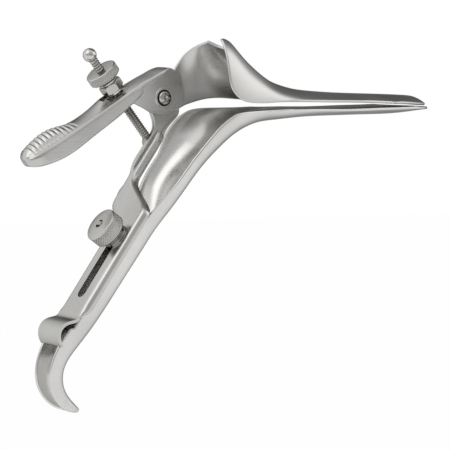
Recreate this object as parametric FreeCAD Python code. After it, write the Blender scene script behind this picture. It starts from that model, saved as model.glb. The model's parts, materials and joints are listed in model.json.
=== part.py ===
"""Open-sided bivalve speculum: two blades, a handle, a sliding yoke and an adjusting screw.

Origin: on the axis that the upper blade turns about, in the middle of the blades.
+X points along the blades to their tips, +Z up, +Y to the side that carries the hinge.
Millimetres throughout.
"""
import FreeCAD, Part
import math
import os

V = FreeCAD.Vector

# Sheet, bars and clearances
SHEET = 1.3                 # blades and handle
YOKE_SHEET = 1.4            # slotted slide and its rims
RUN = 0.05                  # radial clearance of pins and screws
GAP = 0.3                   # clearance between faces that pass each other
SLIDE_GAP = 0.4             # side clearance of the slide on the handle

# Blades
BLADE_TIP = 137.4           # from the hinge axis to the tips
BLADE_HALF = 17.5           # half the width of the blades
MOUTH_HALF = 18.5           # half the width of the upper blade at its mouth
NOSE_LENGTH = 27.0          # rounded end of a blade
WING_NEAR_X = 14.7          # back edge of the wing on the open side
WING_FAR_X = 17.5           # where the hinge side's wing is highest
NOTCH_X = 23.0              # front of the notch in the mouth's crown
NOTCH_HALF = 9.3            # half the notch's width
NOTCH_DEPTH = 9.0           # length of the notch's round end

# Handle, in its own frame: a runs up the handle, b points away from the blades
HANDLE_LEAN = 34.9          # degrees between the handle and the vertical
HANDLE_TOP_A = -57.5        # where the channel meets the lower blade
FACE_B = -6.6               # outer face of the slotted slide

# Slotted slide
SLIDE_HALF = 9.8
HANDLE_HALF = SLIDE_HALF - YOKE_SHEET - SLIDE_GAP      # half the width of the channel
SLIDE_END_A = -113.0        # where the slide's flat ends and its curl begins
RIM_DEPTH = 3.8
CURL_HEIGHT = 5.4
CURL_LENGTH = 14.5
YOKE_INNER_Y = 16.0
YOKE_TOP_A = -18.0
STUD_A = -70.7
STUD_R = 2.5
STUD_ROOT = 10.0            # length of the stud below the slide's face
STUD_SINK = 1.6             # from the knob's face down to the stud's shoulder
TANG = (1.8, 3.6, 2.2)      # flat end of the stud
BLOCK = 12.8                # block that holds the stud in the channel
BLOCK_DROP = 1.0            # from the slide down to the block
SLOT_R = 2.9
SLIDE_TRAVEL = 29.0

# Hinge of the upper blade
PLATE_Y = 17.0              # inner face of the hinge plate
PLATE = 1.5
LOBE_R = 7.6
ARM = 2.5
ARM_HEAD_R = 7.2
PIVOT_R = 2.2
PIVOT_HEAD_R = 3.1
BOSS_R = 5.0
BOSS = 0.5

# Thumb lever
LEVER_ANGLE = 31.5          # degrees below the horizontal
LEVER_TOP_Z = 12.0          # height of its top line over the hinge axis
LEVER_LENGTH = 81.8
LEVER_WIDTH = 12.5
LEVER_EDGE = 5.9            # depth of the lever's side
LEVER_ROOT = 2.2            # thickness beside the hinge
LEVER_ROOT_L = 16.5         # length of the thin root
RIB_COUNT = 11
RIB_PITCH = 2.6
RIB_DEPTH = 0.6
RIBS_TO_END = 5.0          # from the last rib to the lever's end
ROD_L = 24.75               # place of the rod's slot along the lever
ROD_SLOT_HALF = 4.6
ROD_SLOT_R = 2.6
POCKET_FLOOR = 2.2          # seat of the screw over the lever's top line
POCKET_WALL = 3.0           # from the slot to the pocket's wall

# Adjusting screw, s runs along it from its hinge
ROD_HINGE = (-3.3, -20.4)
ROD_Y = 24.0
ROD_ANGLE = 129.7           # degrees from +X towards +Z
ROD_R = 1.6
ROD_PITCH = 0.9
ROD_THREAD = 0.3
ROD_EYE_R = 3.2
ROD_EYE = 4.0
ROD_PIN_R = 1.3
ROD_LENGTH = 51.4
BALL_R = 3.2
SEAT_S = 28.6               # lowest point of the swivel washer
SEAT = 2.4
SEAT_R = 4.4
SEAT_DOME = 7.0
HEX_ACROSS = 9.6
HEX = 4.4
NUT_PLAY = 0.1              # between the hexagon and the knurled nut
NUT_R = 7.6
NUT = 5.2
NUT_NECK = 1.4
NUT_NECK_R = 4.6
NUT_HUB = 1.0
NUT_HUB_R = 3.0

# Clamping knob
KNOB_R = 7.5
KNOB = 5.0
KNOB_NECK = 4.4
KNOB_NECK_R = 4.6
WASHER = 0.8
WASHER_R = 6.0
CLAMP_PLAY = 0.1            # between the slide, the washer and the loosened knob
NECK_LAP = 0.5              # how far a neck runs into its head
TEETH = 44
TOOTH = 0.35

# Lower blade stations: place of the channel's bottom, lean of its section in degrees,
# half width, depth, arc in degrees and squareness
LOWER = [
    (140.5, -3.85, 0.0, BLADE_HALF, 0.3, 40.0, 2.0),
    (132.0, -4.3, 0.0, BLADE_HALF, 1.1, 50.0, 2.0),
    (118.0, -6.0, 0.0, BLADE_HALF, 2.3, 60.0, 2.0),
    (98.0, -6.9, 0.0, BLADE_HALF, 2.6, 65.0, 2.0),
    (78.0, -7.4, 0.0, BLADE_HALF - 0.3, 2.5, 65.0, 2.0),
    (60.0, -8.2, 0.0, BLADE_HALF - 0.6, 3.3, 70.0, 2.0),
    (47.5, -9.4, 3.0, BLADE_HALF - 0.8, 4.6, 75.0, 2.0),
    (37.0, -10.8, 12.0, BLADE_HALF - 0.7, 7.2, 82.0, 2.0),
    (29.0, -13.4, 24.0, BLADE_HALF - 0.5, 10.0, 88.0, 2.1),
    (21.0, -17.6, 35.0, BLADE_HALF - 0.5, 11.0, 90.0, 2.2),
    (13.0, -23.9, 43.0, BLADE_HALF - 0.7, 10.8, 90.0, 2.2),
    (5.0, -31.4, 50.0, BLADE_HALF - 1.2, 10.2, 90.0, 2.2),
]
# The same in the handle's frame: a, b and the rest
CHANNEL = [
    (-38.4, -20.9, 15.0, 10.4),
    (-48.5, -21.2, 11.3, 11.8),
    (HANDLE_TOP_A, -21.0, HANDLE_HALF, 12.7),
    (-66.0, -20.7, HANDLE_HALF, 12.4),
    (-85.0, -20.2, HANDLE_HALF, 11.9),
    (-105.0, -19.6, HANDLE_HALF, 11.3),
]
# Curled foot of the handle: place, lean, half width, depth
FOOT = [
    (-50.5, -105.2, 56.0, HANDLE_HALF, 10.9),
    (-57.2, -112.6, 62.0, HANDLE_HALF - 0.2, 10.4),
    (-61.3, -118.4, 76.0, HANDLE_HALF - 0.6, 9.8),
    (-62.4, -124.0, 93.0, HANDLE_HALF - 1.0, 9.3),
    (-61.0, -129.4, 112.0, HANDLE_HALF - 1.7, 8.2),
    (-58.2, -133.4, 126.0, HANDLE_HALF - 2.7, 6.0),
    (-55.2, -136.6, 134.0, HANDLE_HALF - 4.0, 3.6),
    (-52.9, -138.7, 137.0, HANDLE_HALF - 5.6, 1.7),
]
# Upper blade stations: x, crown height, height of the rim, half width, arc, squareness
UPPER = [
    (-2.0, 33.0, -6.5, MOUTH_HALF, 90.0, 3.0),
    (10.0, 32.0, -5.5, MOUTH_HALF, 90.0, 3.0),
    (18.0, 28.8, -4.0, MOUTH_HALF, 90.0, 3.0),
    (24.3, 22.9, -2.5, MOUTH_HALF - 0.2, 90.0, 2.7),
    (30.0, 18.0, -1.2, MOUTH_HALF - 0.5, 88.0, 2.4),
    (36.0, 13.6, -0.4, BLADE_HALF + 0.2, 85.0, 2.2),
    (42.0, 10.0, 0.0, BLADE_HALF, 80.0, 2.0),
    (48.0, 7.4, 0.2, BLADE_HALF - 0.1, 76.0, 2.0),
    (56.0, 5.5, 0.3, BLADE_HALF - 0.2, 70.0, 2.0),
    (68.0, 4.2, 0.3, BLADE_HALF - 0.2, 65.0, 2.0),
    (85.0, 3.4, 0.3, BLADE_HALF, 65.0, 2.0),
    (105.0, 3.0, 0.3, BLADE_HALF, 65.0, 2.0),
    (121.0, 2.6, 0.1, BLADE_HALF, 60.0, 2.0),
    (129.0, 1.7, -0.4, BLADE_HALF, 50.0, 2.0),
    (134.0, 0.5, -0.8, BLADE_HALF, 45.0, 2.0),
    (140.5, -1.0, -1.2, BLADE_HALF, 40.0, 2.0),
]
# Thumb lever stations: place along it, height of its near lip over the top line, rise of the
# crown over the lip, height of the underside
LEVER_FORM = [
    (-4.0, 0.0, 0.3, -LEVER_EDGE),
    (6.0, 0.0, 0.5, -LEVER_EDGE),
    (14.0, 0.0, 1.1, -LEVER_EDGE),
    (20.0, 0.0, 2.7, -LEVER_EDGE),
    (25.0, 0.0, 3.8, -LEVER_EDGE),
    (30.0, 0.0, 4.0, -LEVER_EDGE),
    (36.0, -0.1, 2.9, -LEVER_EDGE),
    (42.0, -0.1, 2.2, -LEVER_EDGE - 0.1),
    (48.0, 0.0, 2.3, -LEVER_EDGE - 0.4),
    (54.0, 0.2, 4.0, -LEVER_EDGE - 0.9),
    (60.0, 0.5, 5.8, -LEVER_EDGE - 1.0),
    (66.0, 1.0, 6.2, -LEVER_EDGE - 0.5),
    (71.0, 1.5, 5.2, -LEVER_EDGE + 0.7),
    (75.0, 1.8, 3.7, -LEVER_EDGE + 2.0),
    (79.0, 1.6, 1.7, -LEVER_EDGE + 3.7),
    (LEVER_LENGTH, 1.0, 0.4, -LEVER_EDGE + 5.4),
]
# Rounded end of the lever in plan: back from its end and across from its near side
LEVER_END = [(12.0, 0.0), (6.5, 0.2), (2.6, 1.4), (0.5, 4.2), (0.2, 7.4), (1.8, 10.4), (5.4, 12.3),
             (10.0, LEVER_WIDTH)]
# Rim of the lower blade seen from the side, from the blade down, then in the handle's frame
LOWER_RIM = [(60.0, -3.2), (31.0, -4.6), (24.7, -5.0), (19.0, -5.8), (14.0, -8.0), (9.5, -11.8),
             (5.0, -16.6), (1.0, -21.9), (-4.0, -29.3)]
THROAT_RIM = [(-37.6, -13.7), (-44.5, -14.8), (-51.0, -15.8), (-59.0, -15.6)]
# Back and lower edges of the upper blade seen from the side
NEAR_WING = [(WING_NEAR_X, 19.0), (13.5, 12.3), (14.1, 5.6), (16.9, 2.0), (20.7, 0.2),
             (24.6, -0.5), (30.0, -0.6)]
FAR_WING = [(WING_FAR_X, 27.0), (15.0, 26.0), (12.9, 24.8), (10.8, 23.0), (8.8, 20.4),
            (6.6, 16.9), (4.0, 13.3)]
FAR_EDGE = [(5.2, -5.6), (9.2, -3.6), (13.9, -1.9), (19.4, -0.4), (24.9, 0.5), (30.4, 0.7),
            (44.0, -0.6)]
SECTION_POINTS = 8          # on each side of a section's middle

ARM_Y = PLATE_Y + PLATE + GAP
KNOB_BASE = FACE_B + WASHER + 2 * CLAMP_PLAY
LEVER_Y = PLATE_Y + PLATE
RAKE = 90.0 - HANDLE_LEAN
HANDLE = FreeCAD.Placement(V(0, 0, 0), FreeCAD.Rotation(V(0, 1, 0), -RAKE))
# On the lever, l runs down it, y is across and h stands on its top line
LEVER = FreeCAD.Placement(V(0, 0, LEVER_TOP_Z), FreeCAD.Rotation(V(0, 1, 0), -LEVER_ANGLE))
ROD = FreeCAD.Placement(V(ROD_HINGE[0], ROD_Y, ROD_HINGE[1]),
                        FreeCAD.Rotation(V(0, 1, 0), 90.0 - ROD_ANGLE))


def on_handle(a, b):
    """x and z of a point of the handle's frame."""
    p = HANDLE.multVec(V(a, 0, b))
    return p.x, p.z


def prism(points, y0, y1):
    """Outline in the XZ plane, carried from y0 to y1."""
    wire = Part.makePolygon([V(x, y0, z) for x, z in points + points[:1]])
    return Part.Face(wire).extrude(V(0, y1 - y0, 0))


def smooth_prism(curve, corners, y0, y1):
    """A prism with one smooth curved side and straight sides through the corners."""
    spline = Part.BSplineCurve()
    spline.interpolate([V(x, y0, z) for x, z in curve])
    ends = [curve[-1]] + corners + [curve[0]]
    edges = [spline.toShape()]
    edges += [Part.LineSegment(V(p[0], y0, p[1]), V(q[0], y0, q[1])).toShape()
              for p, q in zip(ends, ends[1:])]
    return Part.Face(Part.Wire(edges)).extrude(V(0, y1 - y0, 0))


def tube(radius, start, end, axis=V(0, 0, 1), centre=V(0, 0, 0)):
    """Round bar between two places along an axis."""
    return Part.makeCylinder(radius, end - start, centre + axis * start, axis)


def section(half, depth, arc, square, inset):
    """Half round section as (across, up) points, its middle at (0, 0), moved inwards by inset."""
    power = 2.0 / square
    reach = math.radians(arc)
    wide = half / math.sin(reach) ** power
    tall = depth / (1.0 - max(math.cos(reach), 0.0) ** power)
    points = []
    for k in range(-SECTION_POINTS, SECTION_POINTS + 1):
        turn = abs(k) * reach / SECTION_POINTS
        side = math.copysign(1.0, k)
        across = math.sin(turn) ** power
        up = max(math.cos(turn), 0.0) ** power
        slope_y = across ** (square - 1.0) / wide
        slope_h = up ** (square - 1.0) / tall
        norm = math.hypot(slope_y, slope_h)
        points.append((side * (wide * across - inset * slope_y / norm),
                       tall * (1.0 - up) + inset * slope_h / norm))
    return points


def surface(rows):
    """Smooth surface through rows of points."""
    skin = Part.BSplineSurface()
    skin.interpolate(rows)
    return skin


def between(outer, inner):
    """Solid between two surfaces that have the same rows and columns of points."""
    skins = [surface(outer), surface(inner)]
    faces = [skin.toShape() for skin in skins]
    u0, u1, v0, v1 = skins[0].bounds()
    w0, w1, t0, t1 = skins[1].bounds()
    rims = [(skins[0].uIso(u0), skins[1].uIso(w0)), (skins[0].uIso(u1), skins[1].uIso(w1)),
            (skins[0].vIso(v0), skins[1].vIso(t0)), (skins[0].vIso(v1), skins[1].vIso(t1))]
    for one, two in rims:
        faces.append(Part.makeRuledSurface(one.toShape(), two.toShape()))
    shell = Part.makeShell(faces)
    shell.sewShape()
    solid = Part.Solid(shell)
    if solid.Volume < 0:
        solid.reverse()
    return solid


def trough(stations):
    """Curved sheet from stations: x, z, lean, half width, depth, arc, squareness."""
    rows = {0.0: [], SHEET: []}
    for x, z, lean, half, depth, arc, square in stations:
        up = V(-math.sin(math.radians(lean)), 0, math.cos(math.radians(lean)))
        for inset, grid in rows.items():
            grid.append([V(x, 0, z) + V(0, y, 0) + up * h
                         for y, h in section(half, depth, arc, square, inset)])
    return between(rows[0.0], rows[SHEET])


def nose_cut(low, high):
    """Everything outside the rounded plan of a blade's tip."""
    start = BLADE_TIP - NOSE_LENGTH
    half = BLADE_HALF + 1.0
    steps = 8
    power = 0.95
    plan = [V(start + NOSE_LENGTH * math.cos(k * math.pi / 2 / steps) ** power,
              half * math.sin(k * math.pi / 2 / steps) ** power, low) for k in range(steps)]
    plan.append(V(start, half, low))
    spline = Part.BSplineCurve()
    spline.interpolate([V(p.x, -p.y, low) for p in plan[:0:-1]] + plan)
    corners = [plan[-1], V(start, 2 * half, low), V(2 * BLADE_TIP, 2 * half, low),
               V(2 * BLADE_TIP, -2 * half, low), V(start, -2 * half, low), V(start, -half, low)]
    edges = [spline.toShape()] + [Part.LineSegment(p, q).toShape()
                                  for p, q in zip(corners, corners[1:])]
    return Part.Face(Part.Wire(edges)).extrude(V(0, 0, high - low))


def lower_sheet():
    """Lower blade, handle channel and foot as one curved sheet."""
    stations = list(LOWER)
    for a, b, half, depth in CHANNEL:
        x, z = on_handle(a, b)
        stations.append((x, z, RAKE, half, depth, 90.0, 2.3))
    stations += [(x, z, lean, half, depth, 90.0, 2.3) for x, z, lean, half, depth in FOOT]
    return trough(stations)


def handle_half_space():
    """Everything on the handle's side of the place where it meets the lower blade."""
    box = Part.makeBox(200, 200, 200, V(HANDLE_TOP_A - 200, -100, -100))
    box.Placement = HANDLE
    return box


def lower_blade():
    """Blade and throat, trimmed to its rim and its rounded nose."""
    blade = lower_sheet().cut(handle_half_space())
    rim = LOWER_RIM + [on_handle(a, b) for a, b in THROAT_RIM]
    above = smooth_prism(rim, [(-60, rim[-1][1]), (-60, 60), (60, 60)], -40, 40)
    return blade.cut(above).cut(nose_cut(-20, 20))


def handle():
    """Channel that the slide runs on, with its curled foot."""
    channel = lower_sheet().common(handle_half_space())
    lid = Part.makeBox(80, 60, 20, V(HANDLE_TOP_A - 72.0, -30, FACE_B - YOKE_SHEET - GAP))
    lid.Placement = HANDLE
    return channel.cut(lid)


def stud_block(channel):
    """Block in the channel that holds the clamping stud."""
    half = HANDLE_HALF - SHEET - GAP
    top = FACE_B - YOKE_SHEET - BLOCK_DROP
    block = Part.makeBox(BLOCK, 2 * half, BLOCK, V(STUD_A - BLOCK / 2, -half, top - BLOCK))
    block.Placement = HANDLE
    block = block.cut(channel)
    block = max(block.Solids, key=lambda s: s.Volume)
    return block.cut(clamp_stud())


def clamp_stud():
    """Threaded stud with the flat end that keeps the knob on it."""
    top = KNOB_BASE + KNOB_NECK + KNOB - STUD_SINK
    stud = tube(STUD_R, FACE_B - STUD_ROOT, top, V(0, 0, 1), V(STUD_A, 0, 0))
    tang = Part.makeBox(*TANG, V(STUD_A - TANG[0] / 2, -TANG[1] / 2, top))
    stud = stud.fuse(tang).removeSplitter()
    stud.Placement = HANDLE
    return stud


def knurled(radius, length):
    """Round head with teeth, its lower and upper corners taken off."""
    points = []
    for k in range(2 * TEETH):
        r = radius - TOOTH * (k % 2)
        turn = math.pi * k / TEETH
        points.append(V(r * math.cos(turn), r * math.sin(turn), 0))
    head = Part.Face(Part.makePolygon(points + points[:1])).extrude(V(0, 0, length))
    bevel = 0.8
    low = Part.makeCone(radius - bevel, radius + length, length + bevel, V(0, 0, 0))
    high = Part.makeCone(radius + length, radius - bevel, length + bevel, V(0, 0, -bevel))
    return head.common(low).common(high)


def clamp_washer():
    """Flat washer between the knob and the slide."""
    base = FACE_B + CLAMP_PLAY
    ring = tube(WASHER_R, base, base + WASHER).cut(tube(STUD_R + RUN, base - 1, base + WASHER + 1))
    ring.Placement = HANDLE.multiply(FreeCAD.Placement(V(STUD_A, 0, 0), FreeCAD.Rotation()))
    return ring


def clamp_knob():
    """Knurled knob with its neck."""
    neck = tube(KNOB_NECK_R, KNOB_BASE, KNOB_BASE + KNOB_NECK + NECK_LAP)
    head = knurled(KNOB_R, KNOB)
    head.translate(V(0, 0, KNOB_BASE + KNOB_NECK))
    knob = neck.fuse(head).removeSplitter()
    knob = knob.cut(tube(STUD_R + RUN, KNOB_BASE - 1, KNOB_BASE + 30))
    knob.Placement = HANDLE.multiply(FreeCAD.Placement(V(STUD_A, 0, 0), FreeCAD.Rotation()))
    return knob


def slide_plan(inset, end):
    """Plan of the slide and yoke in the handle's frame, as a face at b = 0."""
    y0 = -SLIDE_HALF + inset
    y1 = SLIDE_HALF - inset
    far = ARM_Y - inset * 0.2
    inner = YOKE_INNER_Y + inset
    top = YOKE_TOP_A - inset
    corner = V(-53.5 - inset, y0, 0)
    bend = V(-38.0 - inset * 0.4, inner, 0)
    middle = V(-46.5 - inset, 6.0 + inset * 0.4, 0)
    edge = Part.BSplineCurve()
    edge.interpolate([corner, V(-50.6 - inset, -2.6, 0), middle, V(-42.6 - inset, 13.2 + inset, 0), bend])
    points = [bend, V(top, inner, 0), V(top, far, 0), V(-54.0 + inset * 0.3, far, 0),
              V(-61.5 + inset * 0.3, y1, 0), V(end, y1, 0), V(end, y0, 0), corner]
    lines = [Part.LineSegment(p, q).toShape() for p, q in zip(points, points[1:])]
    return Part.Face(Part.Wire([edge.toShape()] + lines))


def slide():
    """Slotted slide with turned-down rims, its curl at the foot and the yoke at its top."""
    body = slide_plan(0.0, SLIDE_END_A).extrude(V(0, 0, -RIM_DEPTH))
    hollow = slide_plan(YOKE_SHEET, SLIDE_END_A - 20).extrude(V(0, 0, -RIM_DEPTH))
    hollow.translate(V(0, 0, -YOKE_SHEET))
    body = body.cut(hollow)
    curl = curl_sheet()
    body = body.fuse(curl)
    reach = SLIDE_TRAVEL + 0.9
    slot = Part.makeBox(reach, 2 * SLOT_R, 6, V(STUD_A + 0.5 - reach, -SLOT_R, -3))
    for a in (STUD_A + 0.5, STUD_A + 0.5 - reach):
        slot = slot.fuse(tube(SLOT_R, -3, 3, V(0, 0, 1), V(a, 0, 0)))
    body = body.cut(slot).removeSplitter()
    body.Placement = HANDLE.multiply(FreeCAD.Placement(V(0, 0, FACE_B), FreeCAD.Rotation()))
    return body


def curl_sheet():
    """Thumb curl: the sheet rises in an arc and comes back to the handle."""
    start = SLIDE_END_A
    wire = []
    for drop in (0.0, -YOKE_SHEET):
        half = CURL_LENGTH / 2
        rise = CURL_HEIGHT
        radius = (half ** 2 + rise ** 2) / (2 * rise)
        middle = V(start - half, 0, rise - radius - YOKE_SHEET / 2)
        swing = math.asin(half / radius)
        wire.append([middle + V((radius + YOKE_SHEET / 2 + drop) * math.sin(t * swing), 0,
                                (radius + YOKE_SHEET / 2 + drop) * math.cos(t * swing))
                     for t in (1, 0, -1)])
    outer, inner = wire
    flat = V(start + 2.0, 0, 0)
    root = V(start + 2.0, 0, -YOKE_SHEET)
    edges = [Part.LineSegment(root, flat).toShape(), Part.LineSegment(flat, outer[0]).toShape(),
             Part.Arc(*outer).toShape(), Part.LineSegment(outer[2], inner[2]).toShape(),
             Part.Arc(*inner[::-1]).toShape(), Part.LineSegment(inner[0], root).toShape()]
    sheet = Part.Face(Part.Wire(edges)).extrude(V(0, 2 * SLIDE_HALF, 0))
    sheet.translate(V(0, -SLIDE_HALF, 0))
    return sheet


def hinge_arm():
    """Side plate of the yoke that carries the hinge and the rod."""
    outline = [(7.0, 1.2), (9.6, -5.0), (9.3, -7.6), (2.9, -14.7), (0.6, -19.2),
               on_handle(-36.0, FACE_B - 4.4), on_handle(-46.5, FACE_B - RIM_DEPTH),
               on_handle(-53.0, FACE_B), on_handle(-46.0, FACE_B), (-15.4, -32.0),
               (-10.2, -23.8), (-6.6, -18.6), (-4.4, -14.6), (-4.2, -11.0), (-6.4, -4.0)]
    arm = prism(outline, ARM_Y, ARM_Y + ARM)
    arm = arm.fuse(tube(ARM_HEAD_R, ARM_Y, ARM_Y + ARM, V(0, 1, 0)))
    x, z = ROD_HINGE
    arm = arm.cut(tube(PIVOT_R, 0, 60, V(0, 1, 0)))
    return arm.cut(tube(ROD_PIN_R, 0, 60, V(0, 1, 0), V(x, 0, z))).removeSplitter()


def pivot_screw():
    """Screw that the upper blade turns on, its domed head inside the plate."""
    head_y = PLATE_Y - BOSS
    shank = tube(PIVOT_R, head_y - 0.2, ARM_Y + ARM, V(0, 1, 0))
    head = tube(PIVOT_HEAD_R, head_y - 1.3, head_y - 0.05, V(0, 1, 0))
    return shank.fuse(head).removeSplitter()


def rod_pin():
    """Headed pin that the rod's eye swings on."""
    x, z = ROD_HINGE
    centre = V(x, 0, z)
    end = ROD_Y + ROD_EYE / 2 + 0.2
    shank = tube(ROD_PIN_R, ARM_Y, end, V(0, 1, 0), centre)
    head = tube(ROD_PIN_R + 0.9, end, end + 1.0, V(0, 1, 0), centre)
    return shank.fuse(head).removeSplitter()


def on_lever(length, height):
    """x and z of a point of the lever's frame."""
    p = LEVER.multVec(V(-length, 0, height))
    return p.x, p.z


def hinge_plate():
    """Flat plate round the hinge and along the lever, in the hinge side's wall."""
    low = LEVER_LENGTH - 12.0
    outline = [on_lever(14.5, -LEVER_EDGE), on_lever(48.0, -LEVER_EDGE - 0.3),
               on_lever(56.0, -LEVER_EDGE - 0.7), on_lever(low, -LEVER_EDGE + 0.4),
               on_lever(low, 1.0), on_lever(56.0, 0.1), on_lever(48.0, -0.1),
               on_lever(-4.0, 0.0), (5.5, 12.0), (13.0, 8.0), (13.9, -1.9), (9.2, -3.6),
               (5.2, -5.6), (-7.0, -4.6)]
    plate = prism(outline, PLATE_Y, PLATE_Y + PLATE)
    plate = plate.fuse(tube(LOBE_R, PLATE_Y, PLATE_Y + PLATE, V(0, 1, 0)))
    return plate.fuse(tube(BOSS_R, PLATE_Y - BOSS, PLATE_Y, V(0, 1, 0)))


def upper_blade():
    """Upper blade with its flared mouth, notch, wings and hinge plate."""
    stations = [(x, top, 180.0, half, top - rim, arc, square)
                for x, top, rim, half, arc, square in UPPER]
    blade = trough(stations)
    blade = blade.cut(nose_cut(-20, 20))
    near = smooth_prism(NEAR_WING, [(30, -30), (-30, -30), (-30, 60), (WING_NEAR_X, 60)], -40, 0)
    far = smooth_prism(FAR_WING, [(-30, 13.3), (-30, 60), (WING_FAR_X, 60)], 0, 40)
    under = smooth_prism(FAR_EDGE, [(44, -30), (5.2, -30)], 0, 40)
    back = Part.makeBox(30, 40, 60, V(-26.5, 0, -30))
    notch = Part.makeBox(40, 2 * NOTCH_HALF, 60, V(NOTCH_X - NOTCH_DEPTH - 40, -NOTCH_HALF, 10))
    ring = Part.Ellipse(V(NOTCH_X - NOTCH_DEPTH, 0, 10), NOTCH_HALF, NOTCH_DEPTH)
    ring.AngleXU = math.pi / 2
    round_end = Part.Face(Part.Wire(ring.toShape())).extrude(V(0, 0, 60))
    for tool in (near, far, under, back, notch, round_end):
        blade = blade.cut(tool)
    blade = max(blade.Solids, key=lambda s: s.Volume)
    blade = blade.fuse(hinge_plate())
    blade = blade.cut(tube(PIVOT_R + RUN, 0, 60, V(0, 1, 0)))
    return max(blade.Solids, key=lambda s: s.Volume)


def lever_form(length):
    """Lip, crown and underside heights at a place along the lever, smooth between the stations."""
    k = 1
    while k < len(LEVER_FORM) - 1 and LEVER_FORM[k][0] < length:
        k += 1
    rows = [LEVER_FORM[max(0, min(len(LEVER_FORM) - 1, n))] for n in (k - 2, k - 1, k, k + 1)]
    span = rows[2][0] - rows[1][0]
    t = (length - rows[1][0]) / span
    values = []
    for column in (1, 2, 3):
        slopes = [(rows[n + 1][column] - rows[n - 1][column]) / (rows[n + 1][0] - rows[n - 1][0]) * span
                  for n in (1, 2)]
        values.append((2 * t ** 3 - 3 * t ** 2 + 1) * rows[1][column] + (t ** 3 - 2 * t ** 2 + t) * slopes[0]
                      + (3 * t ** 2 - 2 * t ** 3) * rows[2][column] + (t ** 3 - t ** 2) * slopes[1])
    return values


def lever_places():
    """Places of the lever's rows, close together along the ribs."""
    last = LEVER_LENGTH - RIBS_TO_END
    first = last - RIB_PITCH * RIB_COUNT
    start = LEVER_FORM[0][0]
    steps = 18
    places = [start + (first - start) * k / steps for k in range(steps)]
    places += [first + RIB_PITCH * k / 6 for k in range(6 * RIB_COUNT)]
    places += [last + RIBS_TO_END * k / 4 for k in range(5)]
    return places, first, last


def lever_bar():
    """Bar with its crowned top and ribbed pad, a little wider than the finished lever."""
    cols = 10
    side = 0.4
    top, low = [], []
    places, first, last = lever_places()
    for length in places:
        lip, crown, under = lever_form(length)
        groove = 0.0
        if first < length < last:
            groove = RIB_DEPTH * (1 - math.cos(2 * math.pi * (length - first) / RIB_PITCH)) / 2
        above, below = [], []
        for j in range(cols + 1):
            v = j / cols
            y = -side + (LEVER_WIDTH + 2 * side) * v
            dome = math.sin(math.pi * 0.86 * v) ** 0.6
            above.append(V(-length, y, lip + (crown - groove) * dome))
            below.append(V(-length, y, under))
        top.append(above)
        low.append(below)
    return between(top, low)


def stadium(radius, half, low, high):
    """Upright slot with round ends, along the lever at the adjusting screw."""
    reach = half - radius
    shape = Part.makeBox(2 * reach, 2 * radius, high - low, V(-ROD_L - reach, ROD_Y - radius, low))
    for side in (-1, 1):
        shape = shape.fuse(tube(radius, low, high, V(0, 0, 1), V(side * reach - ROD_L, ROD_Y, 0)))
    return shape


def thumb_lever():
    """Lever bar with its ribbed pad, the slot for the adjusting screw and the pocket of its seat."""
    bar = lever_bar()
    bar.translate(V(0, LEVER_Y, 0))
    end = [V(back - LEVER_LENGTH, LEVER_Y + across, -20) for back, across in LEVER_END]
    spline = Part.BSplineCurve()
    spline.interpolate(end)
    corners = [end[-1], V(10, LEVER_Y + LEVER_WIDTH, -20), V(10, LEVER_Y, -20), end[0]]
    edges = [spline.toShape()] + [Part.LineSegment(p, q).toShape()
                                  for p, q in zip(corners, corners[1:])]
    bar = bar.common(Part.Face(Part.Wire(edges)).extrude(V(0, 0, 40)))
    root = Part.makeBox(LEVER_ROOT_L + 10, 60, LEVER_EDGE,
                        V(-LEVER_ROOT_L, 0, -LEVER_EDGE - LEVER_ROOT))
    bar = bar.cut(root).cut(stadium(ROD_SLOT_R, ROD_SLOT_HALF, -20, 20))
    bar = bar.cut(stadium(ROD_SLOT_R + POCKET_WALL, ROD_SLOT_HALF + POCKET_WALL, POCKET_FLOOR, 20))
    bar.Placement = LEVER
    return max(bar.Solids, key=lambda s: s.Volume)


def adjusting_rod():
    """Threaded rod with the eye at its hinge."""
    start = ROD_EYE_R + 1.0
    end = ROD_LENGTH
    count = int((end - start) / ROD_PITCH)
    profile = [V(0, 0, start - 2.0), V(ROD_R - ROD_THREAD, 0, start - 2.0)]
    for k in range(count):
        base = start + k * ROD_PITCH
        profile += [V(ROD_R - ROD_THREAD, 0, base), V(ROD_R, 0, base + ROD_PITCH / 2)]
    profile += [V(ROD_R - ROD_THREAD, 0, end), V(0, 0, end)]
    rod = Part.Face(Part.makePolygon(profile + profile[:1])).revolve(V(0, 0, 0), V(0, 0, 1), 360)
    eye = tube(ROD_EYE_R, -ROD_EYE / 2, ROD_EYE / 2, V(0, 1, 0))
    rod = rod.fuse(eye).cut(tube(ROD_PIN_R + RUN, -9, 9, V(0, 1, 0))).removeSplitter()
    rod.Placement = ROD
    return rod


def rod_ball():
    """Ball on the rod's end that keeps the nut on it."""
    ball = Part.makeSphere(BALL_R, V(0, 0, ROD_LENGTH + 1.6))
    ball = ball.cut(tube(BALL_R, ROD_LENGTH - 20, ROD_LENGTH))
    ball.Placement = ROD
    return ball


def swivel_washer():
    """Washer with a domed underside that seats in the lever's slot at any tilt."""
    body = Part.makeSphere(SEAT_DOME, V(0, 0, SEAT_S + SEAT_DOME))
    body = body.common(tube(SEAT_R, SEAT_S, SEAT_S + SEAT)).cut(tube(ROD_R + RUN, 0, 60))
    body.Placement = ROD
    return body


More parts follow.
